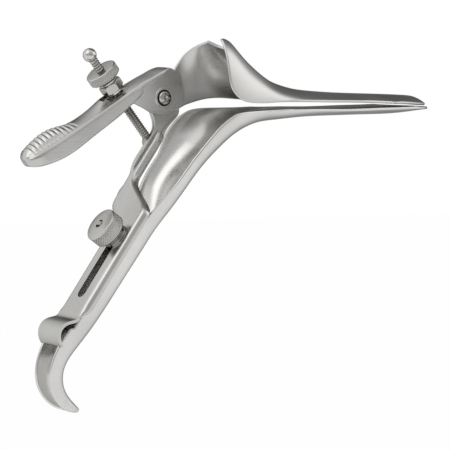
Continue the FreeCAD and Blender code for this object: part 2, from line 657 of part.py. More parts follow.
def lock_nut():
    """Hexagon nut under the knurled nut."""
    base = SEAT_S + SEAT
    corner = HEX_ACROSS / 2 / math.cos(math.pi / 6)
    points = [V(corner * math.cos(math.pi * k / 3), corner * math.sin(math.pi * k / 3), base)
              for k in range(7)]
    body = Part.Face(Part.makePolygon(points)).extrude(V(0, 0, HEX))
    bevel = 0.6
    low = Part.makeCone(corner - bevel, corner + HEX, HEX + bevel, V(0, 0, base))
    high = Part.makeCone(corner + HEX, corner - bevel, HEX + bevel, V(0, 0, base - bevel))
    body = body.common(low).common(high).cut(tube(ROD_R + RUN, 0, 60))
    body.Placement = ROD
    return body


def adjusting_nut():
    """Knurled nut that holds the lever down."""
    base = SEAT_S + SEAT + HEX + NUT_PLAY
    neck = tube(NUT_NECK_R, base, base + NUT_NECK + NECK_LAP)
    head = knurled(NUT_R, NUT)
    head.translate(V(0, 0, base + NUT_NECK))
    hub = tube(NUT_HUB_R, base + NUT_NECK + NUT - NECK_LAP, base + NUT_NECK + NUT + NUT_HUB)
    nut = neck.fuse(head).fuse(hub).removeSplitter().cut(tube(ROD_R + RUN, 0, 60))
    nut.Placement = ROD
    return nut


def main():
    os.makedirs("parts", exist_ok=True)
    channel = handle()
    nodes = {
        "lower_blade": lower_blade(),
        "handle": channel,
        "stud_block": stud_block(channel),
        "clamp_stud": clamp_stud(),
        "clamp_washer": clamp_washer(),
        "clamp_knob": clamp_knob(),
        "slotted_slide": slide(),
        "hinge_arm": hinge_arm(),
        "pivot_screw": pivot_screw(),
        "rod_pin": rod_pin(),
        "upper_blade": upper_blade(),
        "thumb_lever": thumb_lever(),
        "adjusting_rod": adjusting_rod(),
        "rod_ball": rod_ball(),
        "swivel_washer": swivel_washer(),
        "lock_nut": lock_nut(),
        "adjusting_nut": adjusting_nut(),
    }
    for name, shape in nodes.items():
        print("%-16s %s solids %d valid %s volume %.1f" % (
            name, shape.ShapeType, len(shape.Solids), shape.isValid(), shape.Volume))
        shape.exportStep("parts/%s.step" % name)


main()
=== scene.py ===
# %% [markdown]
# An open-sided bivalve speculum in satin steel. Its CAD solids come in as a fixed frame, in metres:
# +X runs along the blades, +Z is up, and the hinge side is +Y. Every new piece below is worked out
# in millimetres in that same frame, rides on one of its bodies and stands for one or more solids.

# %% Load the frame
import json
import math

import bpy
import numpy as np
from mathutils import Matrix, Vector


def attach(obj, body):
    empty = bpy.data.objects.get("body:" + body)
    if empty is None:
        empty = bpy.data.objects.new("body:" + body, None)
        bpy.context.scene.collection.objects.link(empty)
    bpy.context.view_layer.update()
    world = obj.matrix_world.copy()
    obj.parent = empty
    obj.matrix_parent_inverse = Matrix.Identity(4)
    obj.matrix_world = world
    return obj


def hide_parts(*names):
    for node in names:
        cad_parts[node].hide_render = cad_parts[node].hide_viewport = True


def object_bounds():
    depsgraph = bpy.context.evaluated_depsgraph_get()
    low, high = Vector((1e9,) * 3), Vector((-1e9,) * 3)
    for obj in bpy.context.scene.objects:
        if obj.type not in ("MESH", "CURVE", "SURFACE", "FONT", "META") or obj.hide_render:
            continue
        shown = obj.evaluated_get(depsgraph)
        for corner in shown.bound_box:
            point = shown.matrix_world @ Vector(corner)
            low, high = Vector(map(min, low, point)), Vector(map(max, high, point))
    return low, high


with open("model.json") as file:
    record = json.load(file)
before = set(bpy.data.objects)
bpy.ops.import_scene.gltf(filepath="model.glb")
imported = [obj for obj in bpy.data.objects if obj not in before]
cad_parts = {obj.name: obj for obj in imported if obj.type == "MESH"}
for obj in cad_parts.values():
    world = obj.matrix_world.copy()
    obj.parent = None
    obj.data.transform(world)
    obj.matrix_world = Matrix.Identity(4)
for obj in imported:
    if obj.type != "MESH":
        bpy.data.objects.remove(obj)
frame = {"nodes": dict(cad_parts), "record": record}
cad_box = [list(corner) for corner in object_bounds()]
MM = 0.001

# %% [markdown]
# The camera is a long lens a little over a metre away, as in a catalogue picture. Its axes and its
# place were fitted to points of the photograph, so the picture's frame needs no shift. Two axes are
# written down, and the third stands square to them.

# %% Camera
CAMERA_PLACE = (-0.60835, -0.9609, 0.02626)
CAMERA_RIGHT = Vector((0.8362, -0.5481, 0.0194)).normalized()
CAMERA_UP = Vector((0.0239, 0.0717, 0.9971)).normalized()

camera_data = bpy.data.cameras.new("photo_camera")
camera_data.lens = 200.0
camera_data.sensor_width = 36.0
camera_data.clip_end = 20.0
camera = bpy.data.objects.new("photo_camera", camera_data)
back = CAMERA_RIGHT.cross(CAMERA_UP).normalized()
up = back.cross(CAMERA_RIGHT)
turn = Matrix((CAMERA_RIGHT, up, back)).transposed()
camera.matrix_world = Matrix.Translation(CAMERA_PLACE) @ turn.to_4x4()
bpy.context.collection.objects.link(camera)
bpy.context.scene.camera = camera
print("camera stands", round(Vector(CAMERA_PLACE).length, 2), "m from the hinge")

# %% [markdown]
# The world, the floor and every finish are small node trees. Nodes can be added and linked one line
# at a time, but three short helpers make each tree read like a recipe: one adds a node, one feeds its
# inputs with sockets or plain values, and one does arithmetic on two of them.

# %% Node helpers


def add_node(tree, kind, **fields):
    """New node of a kind, with its own fields set, such as its operation."""
    node = tree.nodes.new(kind)
    for field, value in fields.items():
        setattr(node, field, value)
    return node


def feed(tree, node, inputs):
    """Give a node's inputs, by name or place, a socket to read or a plain value to hold."""
    for key, value in inputs.items():
        if isinstance(value, bpy.types.NodeSocket):
            tree.links.new(value, node.inputs[key])
        else:
            node.inputs[key].default_value = value
    return node


def math_node(tree, operation, first, second):
    """Output of a Math node that works on two sockets or plain numbers."""
    return feed(tree, add_node(tree, "ShaderNodeMath", operation=operation), {0: first, 1: second}).outputs[0]


# %% [markdown]
# Steel takes its look from what it mirrors. A white tent alone would leave it flat, so a studio hangs
# darker cloths around the object. Here no cloth is built: the world itself is dimmed softly from four
# sides. The camera sees it plain white at strength 1, and only light and reflections are dimmed.

# %% World
WHITE = (1.0, 1.0, 1.0, 1.0)
# Direction, share of light taken away, and where that starts and is whole, as cosines
DIM_SIDES = [
    ((-0.548, -0.833, 0.073), 0.50, 0.15, 0.92),
    ((0.55, 0.25, 0.80), 0.80, 0.72, 0.97),
    ((0.60, -0.80, -0.05), 0.26, 0.70, 0.97),
    ((0.548, 0.833, 0.0), 0.62, 0.80, 0.98),
]
world = bpy.data.worlds.new("white_studio")
world.use_nodes = True
bpy.context.scene.world = world
tree = world.node_tree
tree.nodes.clear()
heading = add_node(tree, "ShaderNodeTexCoord").outputs["Generated"]
shade = 1.0
for direction, taken, start, whole in DIM_SIDES:
    facing = feed(tree, add_node(tree, "ShaderNodeVectorMath", operation="DOT_PRODUCT"),
                  {0: heading, 1: Vector(direction).normalized()})
    dim = feed(tree, add_node(tree, "ShaderNodeMapRange", interpolation_type="SMOOTHSTEP"),
               {"Value": facing.outputs["Value"], "From Min": start, "From Max": whole,
                "To Min": 1.0, "To Max": 1.0 - taken})
    shade = math_node(tree, "MULTIPLY", shade, dim.outputs["Result"])
room = feed(tree, add_node(tree, "ShaderNodeBackground"), {"Color": WHITE, "Strength": shade})
backdrop = feed(tree, add_node(tree, "ShaderNodeBackground"), {"Color": WHITE, "Strength": 1.0})
camera_ray = add_node(tree, "ShaderNodeLightPath").outputs["Is Camera Ray"]
seen = feed(tree, add_node(tree, "ShaderNodeMixShader"),
            {"Fac": camera_ray, 1: room.outputs[0], 2: backdrop.outputs[0]})
feed(tree, add_node(tree, "ShaderNodeOutputWorld"), {"Surface": seen.outputs[0]})
print("world is dimmed from", len(DIM_SIDES), "sides")

# %% [markdown]
# The floor is a sheet of white paper. A plain diffuse sheet would come out grey and need more light on
# the object, so the paper shines white for what the camera sees and for what metal mirrors, and keeps
# a small diffuse share, which holds the object's shadow.

# %% Floor
FLOOR_HALF = 1.0
FLOOR_GAP = 0.0004
WHITE_SHARE = 0.97
PAPER = (0.92, 0.92, 0.92, 1.0)
floor_z = cad_box[0][2] - FLOOR_GAP
floor_mesh = bpy.data.meshes.new("floor")
floor_mesh.from_pydata([(x * FLOOR_HALF, y * FLOOR_HALF, floor_z)
                        for x, y in ((-1, -1), (1, -1), (1, 1), (-1, 1))], [], [(0, 1, 2, 3)])
floor = bpy.data.objects.new("floor", floor_mesh)
bpy.context.collection.objects.link(floor)

paper = bpy.data.materials.new("white_paper")
paper.use_nodes = True
tree = paper.node_tree
tree.nodes.clear()
path = add_node(tree, "ShaderNodeLightPath").outputs
seen = math_node(tree, "MAXIMUM", path["Is Camera Ray"], path["Is Glossy Ray"])
seen = math_node(tree, "MAXIMUM", seen, path["Is Transmission Ray"])
diffuse = feed(tree, add_node(tree, "ShaderNodeBsdfDiffuse"), {"Color": PAPER})
glow = feed(tree, add_node(tree, "ShaderNodeEmission"), {"Strength": 1.0})
mix = feed(tree, add_node(tree, "ShaderNodeMixShader"),
           {"Fac": math_node(tree, "MULTIPLY", seen, WHITE_SHARE),
            1: diffuse.outputs[0], 2: glow.outputs[0]})
feed(tree, add_node(tree, "ShaderNodeOutputMaterial"), {"Surface": mix.outputs[0]})
floor_mesh.materials.append(paper)
print("floor lies at", round(floor_z, 4), "m")

# %% [markdown]
# Two large soft lamps add the pale highlights on the sheets. They are area lamps, because a point or a
# sun would leave small hard spots on satin steel.

# %% Lamps
AIM = (0.02, 0.0, -0.04)
LAMP_SIZE = 1.0


def lamp(name, centre, power):
    """Square soft lamp at centre that faces the object."""
    data = bpy.data.lights.new(name, "AREA")
    data.shape = "SQUARE"
    data.size = LAMP_SIZE
    data.energy = power
    light = bpy.data.objects.new(name, data)
    facing = (Vector(AIM) - Vector(centre)).normalized()
    light.rotation_euler = facing.to_track_quat("-Z", "Y").to_euler()
    light.location = centre
    bpy.context.collection.objects.link(light)
    print(name, "gives", power, "W")


lamp("lamp_left", (-0.9, -0.2, 0.9), 2.5)
lamp("lamp_right", (1.0, -0.7, 0.5), 1.5)

# %% [markdown]
# Two effects are shared by all the finishes, so each is a node group. Brushing leaves fine scratches
# along one direction: a noise that is stretched along the strokes gives a mask and tiny ridges.
# Handling leaves a soft cloudiness: a slow noise moves the colour and the gloss a little.

# %% Shared effects


def group(name, inputs, output):
    """Empty shader node group with named numbers as inputs and one number as output."""
    made = bpy.data.node_groups.new(name, "ShaderNodeTree")
    for label, default in inputs.items():
        socket = made.interface.new_socket(label, in_out="INPUT", socket_type="NodeSocketFloat")
        socket.default_value = default
    made.interface.new_socket(output, in_out="OUTPUT", socket_type="NodeSocketFloat")
    return made, add_node(made, "NodeGroupInput").outputs, add_node(made, "NodeGroupOutput")


brushing, given, result = group("brushing", {"Strokes per metre": 2500.0, "Stretch": 0.04}, "Scratches")
place = add_node(brushing, "ShaderNodeTexCoord").outputs["Object"]
stretch = feed(brushing, add_node(brushing, "ShaderNodeCombineXYZ"),
               {"X": given["Stretch"], "Y": 1.0, "Z": 1.0})
drawn = feed(brushing, add_node(brushing, "ShaderNodeVectorMath", operation="MULTIPLY"),
             {0: place, 1: stretch.outputs[0]})
strokes = feed(brushing, add_node(brushing, "ShaderNodeTexNoise"),
               {"Vector": drawn.outputs[0], "Scale": given["Strokes per metre"], "Detail": 3.0})
feed(brushing, result, {"Scratches": strokes.outputs["Fac"]})

clouding, given, result = group("clouding", {"Size per metre": 45.0}, "Cloud")
place = add_node(clouding, "ShaderNodeTexCoord").outputs["Object"]
cloud = feed(clouding, add_node(clouding, "ShaderNodeTexNoise"),
             {"Vector": place, "Scale": given["Size per metre"], "Detail": 4.0, "Roughness": 0.45})
feed(clouding, result, {"Cloud": cloud.outputs["Fac"]})
print("effects:", brushing.name, "and", clouding.name)

# %% [markdown]
# All the finishes are the same stainless steel. They differ in how fine the surface is ground: the
# sheets and the knurled heads are satin, the lever is a little finer, the screws and the ball shine.
# The painted light copy is the same finish painted paler, for the light on the lower sheet, and the painted
# shade copies have their colour and gloss set to the tone of the shade on the upper blade, the plate and the
# rod.

# %% Steel finishes
# Painted shade: a dark specular tint darkens every steel's grazing reflections, which draws dark lines along
# the outlines
GRAZING_SHADE_TINT = (0.22, 0.22, 0.22, 1.0)
SCRATCH_SHARE, CLOUD_SHARE = 0.35, 0.65
DARKER, PALER = 0.76, 1.20
# Name, colour, roughness and its spread, strokes per metre, height of the scratches in metres
STEELS = [
    ("satin_steel", (0.60, 0.595, 0.58), 0.27, 0.03, 1500.0, 0.000006),
    # Painted light: satin steel painted paler, for the light that falls on the lower sheet
    ("satin_steel_pale", (0.69, 0.685, 0.67), 0.26, 0.03, 1500.0, 0.000006),
    # Painted shade: satin steel whose colour and gloss are set to the tone of the shade on the upper blade
    # and the plate
    ("satin_steel_shaded", (0.61, 0.605, 0.59), 0.29, 0.03, 1500.0, 0.000006),
    ("lever_steel", (0.58, 0.575, 0.56), 0.24, 0.03, 1500.0, 0.000006),
    ("knurled_steel", (0.56, 0.55, 0.53), 0.28, 0.04, 2500.0, 0.000005),
    ("screw_steel", (0.50, 0.49, 0.47), 0.16, 0.03, 2500.0, 0.000005),
    # Painted shade: screw steel painted darker, for the shade on the rod
    ("screw_steel_painted_shade", (0.40, 0.39, 0.37), 0.20, 0.03, 2500.0, 0.000005),
    ("bright_steel", (0.60, 0.59, 0.57), 0.12, 0.03, 2500.0, 0.000003),
]


def steel(name, colour, roughness, spread, strokes, bump):
    """Metal whose tint and roughness follow a weighted sum of its scratches and its clouds."""
    made = bpy.data.materials.new(name)
    made.use_nodes = True
    tree = made.node_tree
    scratch = feed(tree, add_node(tree, "ShaderNodeGroup", node_tree=brushing),
                   {"Strokes per metre": strokes}).outputs["Scratches"]
    haze = add_node(tree, "ShaderNodeGroup", node_tree=clouding).outputs["Cloud"]
    both = math_node(tree, "ADD", math_node(tree, "MULTIPLY", scratch, SCRATCH_SHARE),
                     math_node(tree, "MULTIPLY", haze, CLOUD_SHARE))
    rough = feed(tree, add_node(tree, "ShaderNodeMapRange"),
                 {"Value": both, "From Min": 0.3, "From Max": 0.7,
                  "To Min": roughness - spread, "To Max": roughness + spread})
    tint = feed(tree, add_node(tree, "ShaderNodeMix", data_type="RGBA"),
                {"Factor": both, "A": (*[DARKER * c for c in colour], 1.0),
                 "B": (*[PALER * c for c in colour], 1.0)})
    ridges = feed(tree, add_node(tree, "ShaderNodeBump"),
                  {"Strength": 1.0, "Distance": bump, "Height": scratch})
    # The dark specular tint paints shade on the grazing reflections.
    feed(tree, tree.nodes["Principled BSDF"],
         {"Metallic": 1.0, "Specular Tint": GRAZING_SHADE_TINT, "Roughness": rough.outputs["Result"],
          "Base Color": tint.outputs["Result"], "Normal": ridges.outputs["Normal"]})
    return made


FINISHES = {row[0]: steel(*row) for row in STEELS}
print("finishes:", sorted(FINISHES))

# %% [markdown]
# Shapes are worked out with numpy as grids of points in millimetres. A grid becomes a mesh by joining
# each point to its neighbours, which is the same for every piece, so it is written once. Weighted
# normals keep wide flat faces flat beside narrow rounded edges.

# %% Grids and meshes
AXES = np.eye(3)


def quads(rows, cols, ring=False, first=0):
    """Faces of a rows x cols grid, counted from first; ring joins the last column to column 0."""
    index = first + np.arange(rows * cols).reshape(rows, cols)
    if ring:
        index = np.concatenate([index, index[:, :1]], axis=1)
    return np.stack([index[:-1, :-1], index[:-1, 1:], index[1:, 1:], index[1:, :-1]],
                    axis=-1).reshape(-1, 4)


def capped(rings, count):
    """Faces of a closed tube: rings of count points each, with a flat cap at both ends."""
    last = (rings - 1) * count
    return quads(rings, count, ring=True).tolist() + [list(range(count))[::-1],
                                                      list(range(last, last + count))]


def placed(local, frame_axes):
    """Points given along a frame's own axes, which are (origin, x, y, z)."""
    origin, x_axis, y_axis, z_axis = frame_axes
    return origin + local[..., :1] * x_axis + local[..., 1:2] * y_axis + local[..., 2:] * z_axis


def new_mesh(name, points, faces):
    """Mesh in metres from points in mm, its faces turned outwards by the sign of its volume."""
    mesh = bpy.data.meshes.new(name)
    points = np.asarray(points, float).reshape(-1, 3) * MM
    mesh.from_pydata(points.tolist(), [], [list(map(int, face)) for face in faces])
    mesh.validate()
    mesh.calc_loop_triangles()
    corners = np.zeros(len(mesh.loop_triangles) * 3, np.int32)
    mesh.loop_triangles.foreach_get("vertices", corners)
    a, b, c = points[corners.reshape(-1, 3)].transpose(1, 0, 2)
    if np.einsum("ij,ij->", a, np.cross(b, c)) < 0:
        mesh.flip_normals()
    return mesh


def even_normals(made):
    """Weighted normals, which keep wide flat faces flat beside their rounded edges."""
    weigh = made.modifiers.new("even_normals", "WEIGHTED_NORMAL")
    weigh.keep_sharp = True


def piece(name, points, faces, finish, body, nodes, sharp=None):
    """Mesh object from points in mm, which rides on a body and stands for CAD nodes."""
    mesh = new_mesh(name, points, faces)
    mesh.polygons.foreach_set("use_smooth", np.ones(len(mesh.polygons), bool))
    made = bpy.data.objects.new(name, mesh)
    bpy.context.collection.objects.link(made)
    mesh.materials.append(FINISHES[finish])
    if sharp is not None:
        mesh.set_sharp_from_angle(angle=math.radians(sharp))
    even_normals(made)
    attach(made, body)
    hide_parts(*nodes)
    print(name, "has", len(mesh.polygons), "faces")
    return made


# %% [markdown]
# Most sizes here come in rows of stations, as on a draughtsman's sheet. A natural cubic spline runs
# smoothly through them, and is read at as many places as a surface needs.

# %% Smooth curves through stations
FINE = 20
OVERLAP = 3


def spline(knots, values, at):
    """Natural cubic spline: between two knots the values follow a cubic whose bends match."""
    knots = np.asarray(knots, float)
    values = np.asarray(values, float).reshape(len(knots), -1)
    gaps = np.diff(knots)
    system = np.eye(len(knots))
    inner = np.arange(1, len(knots) - 1)
    system[inner, inner - 1] = gaps[:-1]
    system[inner, inner] = 2 * (gaps[:-1] + gaps[1:])
    system[inner, inner + 1] = gaps[1:]
    right = np.zeros_like(values)
    right[1:-1] = 6 * np.diff(np.diff(values, axis=0) / gaps[:, None], axis=0)
    bends = np.linalg.solve(system, right)
    flat = np.clip(np.asarray(at, float), knots[0], knots[-1]).reshape(-1)
    k = np.clip(np.searchsorted(knots, flat) - 1, 0, len(gaps) - 1)
    left, rest, span = ((flat - knots[k])[:, None], (knots[k + 1] - flat)[:, None],
                        gaps[k][:, None])
    read = ((bends[k] * rest ** 3 + bends[k + 1] * left ** 3) / (6 * span)
            + (values[k] / span - bends[k] * span / 6) * rest
            + (values[k + 1] / span - bends[k + 1] * span / 6) * left)
    return read.reshape(np.shape(at) + (values.shape[1],))


def along_path(points):
    """Distance along a polyline at each of its points, starting at 0."""
    steps = np.linalg.norm(np.diff(np.asarray(points, float), axis=0), axis=1)
    return np.concatenate([[0.0], np.cumsum(steps)])


def evenly(line, count, closed=False):
    """count points at equal distances along a polyline."""
    reach = along_path(line)
    even = np.linspace(0, reach[-1], count, endpoint=not closed)
    return np.stack([np.interp(even, reach, column) for column in line.T], axis=1)


def smooth_line(points, count):
    """count points evenly spaced on the spline through some points."""
    points = np.asarray(points, float)
    reach = along_path(points)
    return evenly(spline(reach, points, np.linspace(0, reach[-1], FINE * len(points))), count)


def closed_line(points, count):
    """The same on a closed curve, whose ends run past each other to meet smoothly."""
    points = np.asarray(points, float)
    looped = np.concatenate([points[-OVERLAP:], points, points[:OVERLAP]])
    reach = along_path(looped)
    fine = np.linspace(reach[OVERLAP], reach[-OVERLAP], FINE * len(points))
    return evenly(spline(reach, looped, fine), count, closed=True)


def smooth_step(share):
    """3 s^2 - 2 s^3 with s held between 0 and 1, which starts and ends level."""
    share = np.clip(share, 0.0, 1.0)
    return share * share * (3 - 2 * share)


# %% [markdown]
# The blades, the handle and the slide are pressed from sheet. A pressed sheet is a middle surface
# with half its thickness on each side and a half round rim, which the polisher leaves on every
# edge. So one function turns any grid of middle points into a closed, rounded sheet.

# %% Pressed sheet
BLADE_SHEET = 1.3
RIM_STEPS = 5


def unit(vectors):
    """Vectors scaled to length one."""
    return vectors / np.maximum(np.linalg.norm(vectors, axis=-1, keepdims=True), 1e-9)


def pressed_sheet(middle, thickness):
    """Middle grid +- thickness / 2 along its normal, closed by a half circle along its boundary."""
    rows, cols = middle.shape[:2]
    normal = unit(np.cross(np.gradient(middle, axis=0), np.gradient(middle, axis=1)))
    half = thickness / 2
    outer, inner = middle + half * normal, middle - half * normal
    index = np.arange(rows * cols).reshape(rows, cols)
    ring = np.concatenate([index[0, :-1], index[:-1, -1], index[-1, :0:-1], index[:0:-1, 0]])
    away = np.zeros_like(middle)
    away[0] += unit(middle[0] - middle[1])
    away[-1] += unit(middle[-1] - middle[-2])
    away[:, 0] += unit(middle[:, 0] - middle[:, 1])
    away[:, -1] += unit(middle[:, -1] - middle[:, -2])
    centre, up, side = (field.reshape(-1, 3)[ring] for field in (middle, normal, away))
    travel = unit(np.roll(centre, -1, axis=0) - np.roll(centre, 1, axis=0))
    square = unit(np.cross(travel, up))
    square *= np.sign(np.einsum("ij,ij->i", square, side))[:, None]
    swing = np.linspace(math.pi / 2, -math.pi / 2, RIM_STEPS + 2)[1:-1, None, None]
    bead = centre + half * (np.cos(swing) * square + np.sin(swing) * up)
    count = rows * cols
    beads = 2 * count + np.arange(RIM_STEPS * len(ring)).reshape(RIM_STEPS, -1)
    layers = np.concatenate([ring[None], beads, count + ring[None]])
    layers = np.concatenate([layers, layers[:, :1]], axis=1)
    rim = np.stack([layers[:-1, :-1], layers[1:, :-1], layers[1:, 1:], layers[:-1, 1:]],
                   axis=-1).reshape(-1, 4)
    faces = np.concatenate([quads(rows, cols), quads(rows, cols, first=count)[:, ::-1], rim])
    points = np.concatenate([outer.reshape(-1, 3), inner.reshape(-1, 3), bead.reshape(-1, 3)])
    return points, faces


def whole_ellipse(half, depth, arc, square):
    """Half axes, power and angle of the superellipse that a section with this arc is cut from."""
    power = 2.0 / square
    reach = np.radians(arc)
    wide = half / np.sin(reach) ** power
    tall = depth / (1.0 - np.maximum(np.cos(reach), 0.0) ** power)
    return wide, tall, power, reach


def half_round(half, depth, arc, square, v, inset):
    """Across and up of a section: (y / wide)^n + (h / tall)^n = 1, walked by the angle v * arc.

    The point is then moved inwards by inset, square to the curve.
    """
    wide, tall, power, reach = whole_ellipse(half, depth, arc, square)
    turn = np.abs(v) * reach
    across = np.sin(turn) ** power
    up = np.maximum(np.cos(turn), 0.0) ** power
    slope_y = across ** (square - 1.0) / wide
    slope_h = up ** (square - 1.0) / tall
    norm = np.hypot(slope_y, slope_h)
    return (np.sign(v) * (wide * across - inset * slope_y / norm),
            tall * (1.0 - up) + inset * slope_h / norm)


# %% [markdown]
# The handle leans back from the blades. Points of the handle, the slide and the arm are given along
# it (a) and outwards from it (b), because that is how the real pieces are laid out.

# %% Directions of the handle
LEAN = math.radians(90.0 - 34.9)
UP_HANDLE = np.array([math.cos(LEAN), 0.0, math.sin(LEAN)])
OUT_HANDLE = np.array([-math.sin(LEAN), 0.0, math.cos(LEAN)])
HANDLE_FRAME = (np.zeros(3), UP_HANDLE, AXES[1], OUT_HANDLE)


def on_handle(a, b):
    """x and z of a point given along the handle and outwards from it."""
    return (a * UP_HANDLE[0] + b * OUT_HANDLE[0], a * UP_HANDLE[2] + b * OUT_HANDLE[2])


print("handle leans", round(90.0 - math.degrees(LEAN), 1), "degrees back from upright")

# %% [markdown]
# The lower blade, its throat, the handle and the hooked foot are one pressed sheet on the real
# instrument. Its section is half round all the way, and only its width, depth and lean change, so
# those are given by stations along it. A swept curve object couldn't change its depth and its width
# apart from each other.

# %% Stations of the lower sheet
# The solids' box ends at the blades' tips
BLADE_TIP = round(cad_box[1][0] / MM, 2)
BLADE_HALF = 17.5
HANDLE_HALF = 8.0
# Place x and z, lean of the section, half width, depth, arc and squareness
LOWER_STATIONS = [
    (140.5, -3.85, 0.0, BLADE_HALF, 0.3, 40.0, 2.0),
    (132.0, -4.3, 0.0, BLADE_HALF, 1.1, 50.0, 2.0),
    (118.0, -6.0, 0.0, BLADE_HALF, 2.3, 60.0, 2.0),
    (98.0, -6.9, 0.0, BLADE_HALF, 2.6, 65.0, 2.0),
    (78.0, -7.4, 0.0, BLADE_HALF - 0.3, 2.5, 65.0, 2.0),
    (60.0, -8.2, 0.0, BLADE_HALF - 0.6, 3.3, 70.0, 2.0),
    (47.5, -9.4, 3.0, BLADE_HALF - 0.8, 4.6, 75.0, 2.0),
    (37.0, -10.8, 12.0, BLADE_HALF - 0.7, 7.2, 82.0, 2.0),
    (29.0, -13.4, 24.0, BLADE_HALF - 0.5, 10.0, 88.0, 2.1),
    (21.0, -17.6, 35.0, BLADE_HALF - 0.5, 11.0, 90.0, 2.2),
    (13.0, -23.9, 43.0, BLADE_HALF - 0.7, 10.8, 90.0, 2.2),
    (5.0, -31.4, 50.0, BLADE_HALF - 1.2, 10.2, 90.0, 2.2),
    (*on_handle(-38.4, -20.9), 55.1, 15.0, 10.4, 90.0, 2.3),
    (*on_handle(-48.5, -21.2), 55.1, 11.3, 11.8, 90.0, 2.3),
    (*on_handle(-57.5, -21.0), 55.1, HANDLE_HALF, 12.7, 90.0, 2.3),
    (*on_handle(-66.0, -20.7), 55.1, HANDLE_HALF, 12.4, 90.0, 2.3),
    (*on_handle(-85.0, -20.2), 55.1, HANDLE_HALF, 11.9, 90.0, 2.3),
    (*on_handle(-105.0, -19.6), 55.1, HANDLE_HALF, 11.3, 90.0, 2.3),
    (-50.5, -105.2, 56.0, HANDLE_HALF, 10.9, 90.0, 2.3),
    (-57.2, -112.6, 62.0, HANDLE_HALF - 0.2, 10.4, 90.0, 2.3),
    (-61.3, -118.4, 76.0, HANDLE_HALF - 0.6, 9.2, 90.0, 2.3),
    (-62.4, -124.0, 93.0, HANDLE_HALF - 1.0, 8.6, 90.0, 2.3),
    (-61.0, -129.4, 112.0, HANDLE_HALF - 1.7, 7.6, 90.0, 2.3),
    (-58.2, -133.4, 126.0, HANDLE_HALF - 2.7, 6.0, 90.0, 2.3),
    (-55.4, -136.2, 134.0, HANDLE_HALF - 4.0, 3.6, 90.0, 2.3),
    (-53.6, -137.9, 137.0, HANDLE_HALF - 5.6, 1.7, 90.0, 2.3),
]
print("lower sheet has", len(LOWER_STATIONS), "stations")

# %% [markdown]
# The sheet is trimmed along its two sides. Seen from the side, the blade's rims follow a line that
# falls from the blade to the channel, and the far one stays higher. Along the handle the rims follow
# the slide. Seen from above, the tip is trimmed to a rounded plan.

# %% Rim lines and plan of the tip
LID_B = -8.3
NOSE_LENGTH, NOSE_POWER = 27.0, 0.95
NOSE_START = BLADE_TIP - NOSE_LENGTH
LOWER_SHORT = 3.0
# The trim curve is a little larger than the nose: it starts outside the blade's own width, and it
# still has some width at the sheet's last row
PLAN_LENGTH = NOSE_LENGTH - LOWER_SHORT + 0.7
PLAN_HALF = BLADE_HALF + 1.0
NO_LIMIT = 99.0
BLADE_RIM = [(-14.0, -38.6), (-9.2, -32.2), (-4.4, -26.6), (0.5, -21.2), (5.0, -16.3), (9.5, -11.8),
             (14.0, -8.0), (19.0, -5.8), (24.7, -5.0), (31.0, -4.6), (60.0, -3.2)]
FAR_RIM = [(-14.0, -38.6), (-9.2, -32.2), (-4.7, -27.0), (-3.3, -25.0), (-0.6, -19.0), (4.8, -11.2),
           (10.3, -6.8), (17.6, -4.8), (24.7, -4.4), (31.0, -4.3), (60.0, -3.2)]
# Where along x the far wall is deeper than the near one, and by how much
FAR_DEEPER = [(-5.0, 5.0, 13.0, 21.0, 29.0), (0.0, 1.5, 4.5, 3.0, 0.0)]
CHANNEL_RIM = [(-200.0, 20.0), (-122.0, 20.0), (-118.0, LID_B), (-60.0, LID_B), (-57.2, -11.1),
               (-51.0, -11.2), (-44.5, -11.0), (-37.6, -11.0), (-31.6, -11.0), (-26.3, -11.3)]
RIM_END_X = 60.0
RIM_END_A = -26.3


def nose_half(x):
    """Half width of the tip's plan at x: the superellipse (x / length)^n + (y / half)^n = 1."""
    along = np.clip((x - NOSE_START) / PLAN_LENGTH, 0.0, 1.0)
    turn = np.arccos(along ** (1.0 / NOSE_POWER))
    return np.where(x > NOSE_START, PLAN_HALF * np.sin(turn) ** NOSE_POWER, NO_LIMIT)


def over_rim(x, z, rim):
    """How far a point lies over the lower sheet's rim line, in mm, negative below it."""
    a = x * UP_HANDLE[0] + z * UP_HANDLE[2]
    b = x * OUT_HANDLE[0] + z * OUT_HANDLE[2]
    knots, heights = np.array(rim).T
    blade = np.where(x > RIM_END_X, -NO_LIMIT, z - spline(knots, heights, x)[..., 0])
    return np.where(a < RIM_END_A, b - np.interp(a, *np.array(CHANNEL_RIM).T), blade)


# %% [markdown]
# Each row of the sheet runs across its section. How much of the arc a row keeps is found by trying
# many shares of it and reading where the first one crosses the rim or the plan. The rows then end
# exactly on those lines, so the rim is a clean curve without a boolean cut.

# %% Lower blade, handle and foot
ROW_STEP = 1.2
NOSE_ROWS = np.linspace(0.06, 1.2, 22)
SAMPLES, BLADE_SAMPLES = 2000, 900
LOWER_COLUMNS = 57
BUNCHED = math.pi / 2 * 0.9
LEAST_SHARE = 0.02

stations = np.array(LOWER_STATIONS)
reach = along_path(stations[:, :2])
nose_x = NOSE_START + (NOSE_LENGTH - LOWER_SHORT) * np.cos(NOSE_ROWS) ** NOSE_POWER
samples = np.linspace(0, reach[-1], SAMPLES)
sample_x = spline(reach, stations[:, :1], samples)[:, 0]
first_rows = np.interp(-nose_x, -sample_x[:BLADE_SAMPLES], samples[:BLADE_SAMPLES])
rows = np.concatenate([first_rows, np.arange(first_rows[-1] + ROW_STEP, reach[-1], ROW_STEP), [reach[-1]]])
path_x, path_z, lean, half, depth, arc, square = spline(reach, stations, rows).T[:, :, None]
lean = np.radians(lean)
far_depth = depth + np.interp(path_x, *FAR_DEEPER)
tries = np.linspace(0, 1, 400)


def lower_section(side_depth, v):
    """x, y and z of the sheet's middle at the share v of each row's arc."""
    across, rise = half_round(half, side_depth, arc, square, v, BLADE_SHEET / 2)
    return path_x - np.sin(lean) * rise, across, path_z + np.cos(lean) * rise


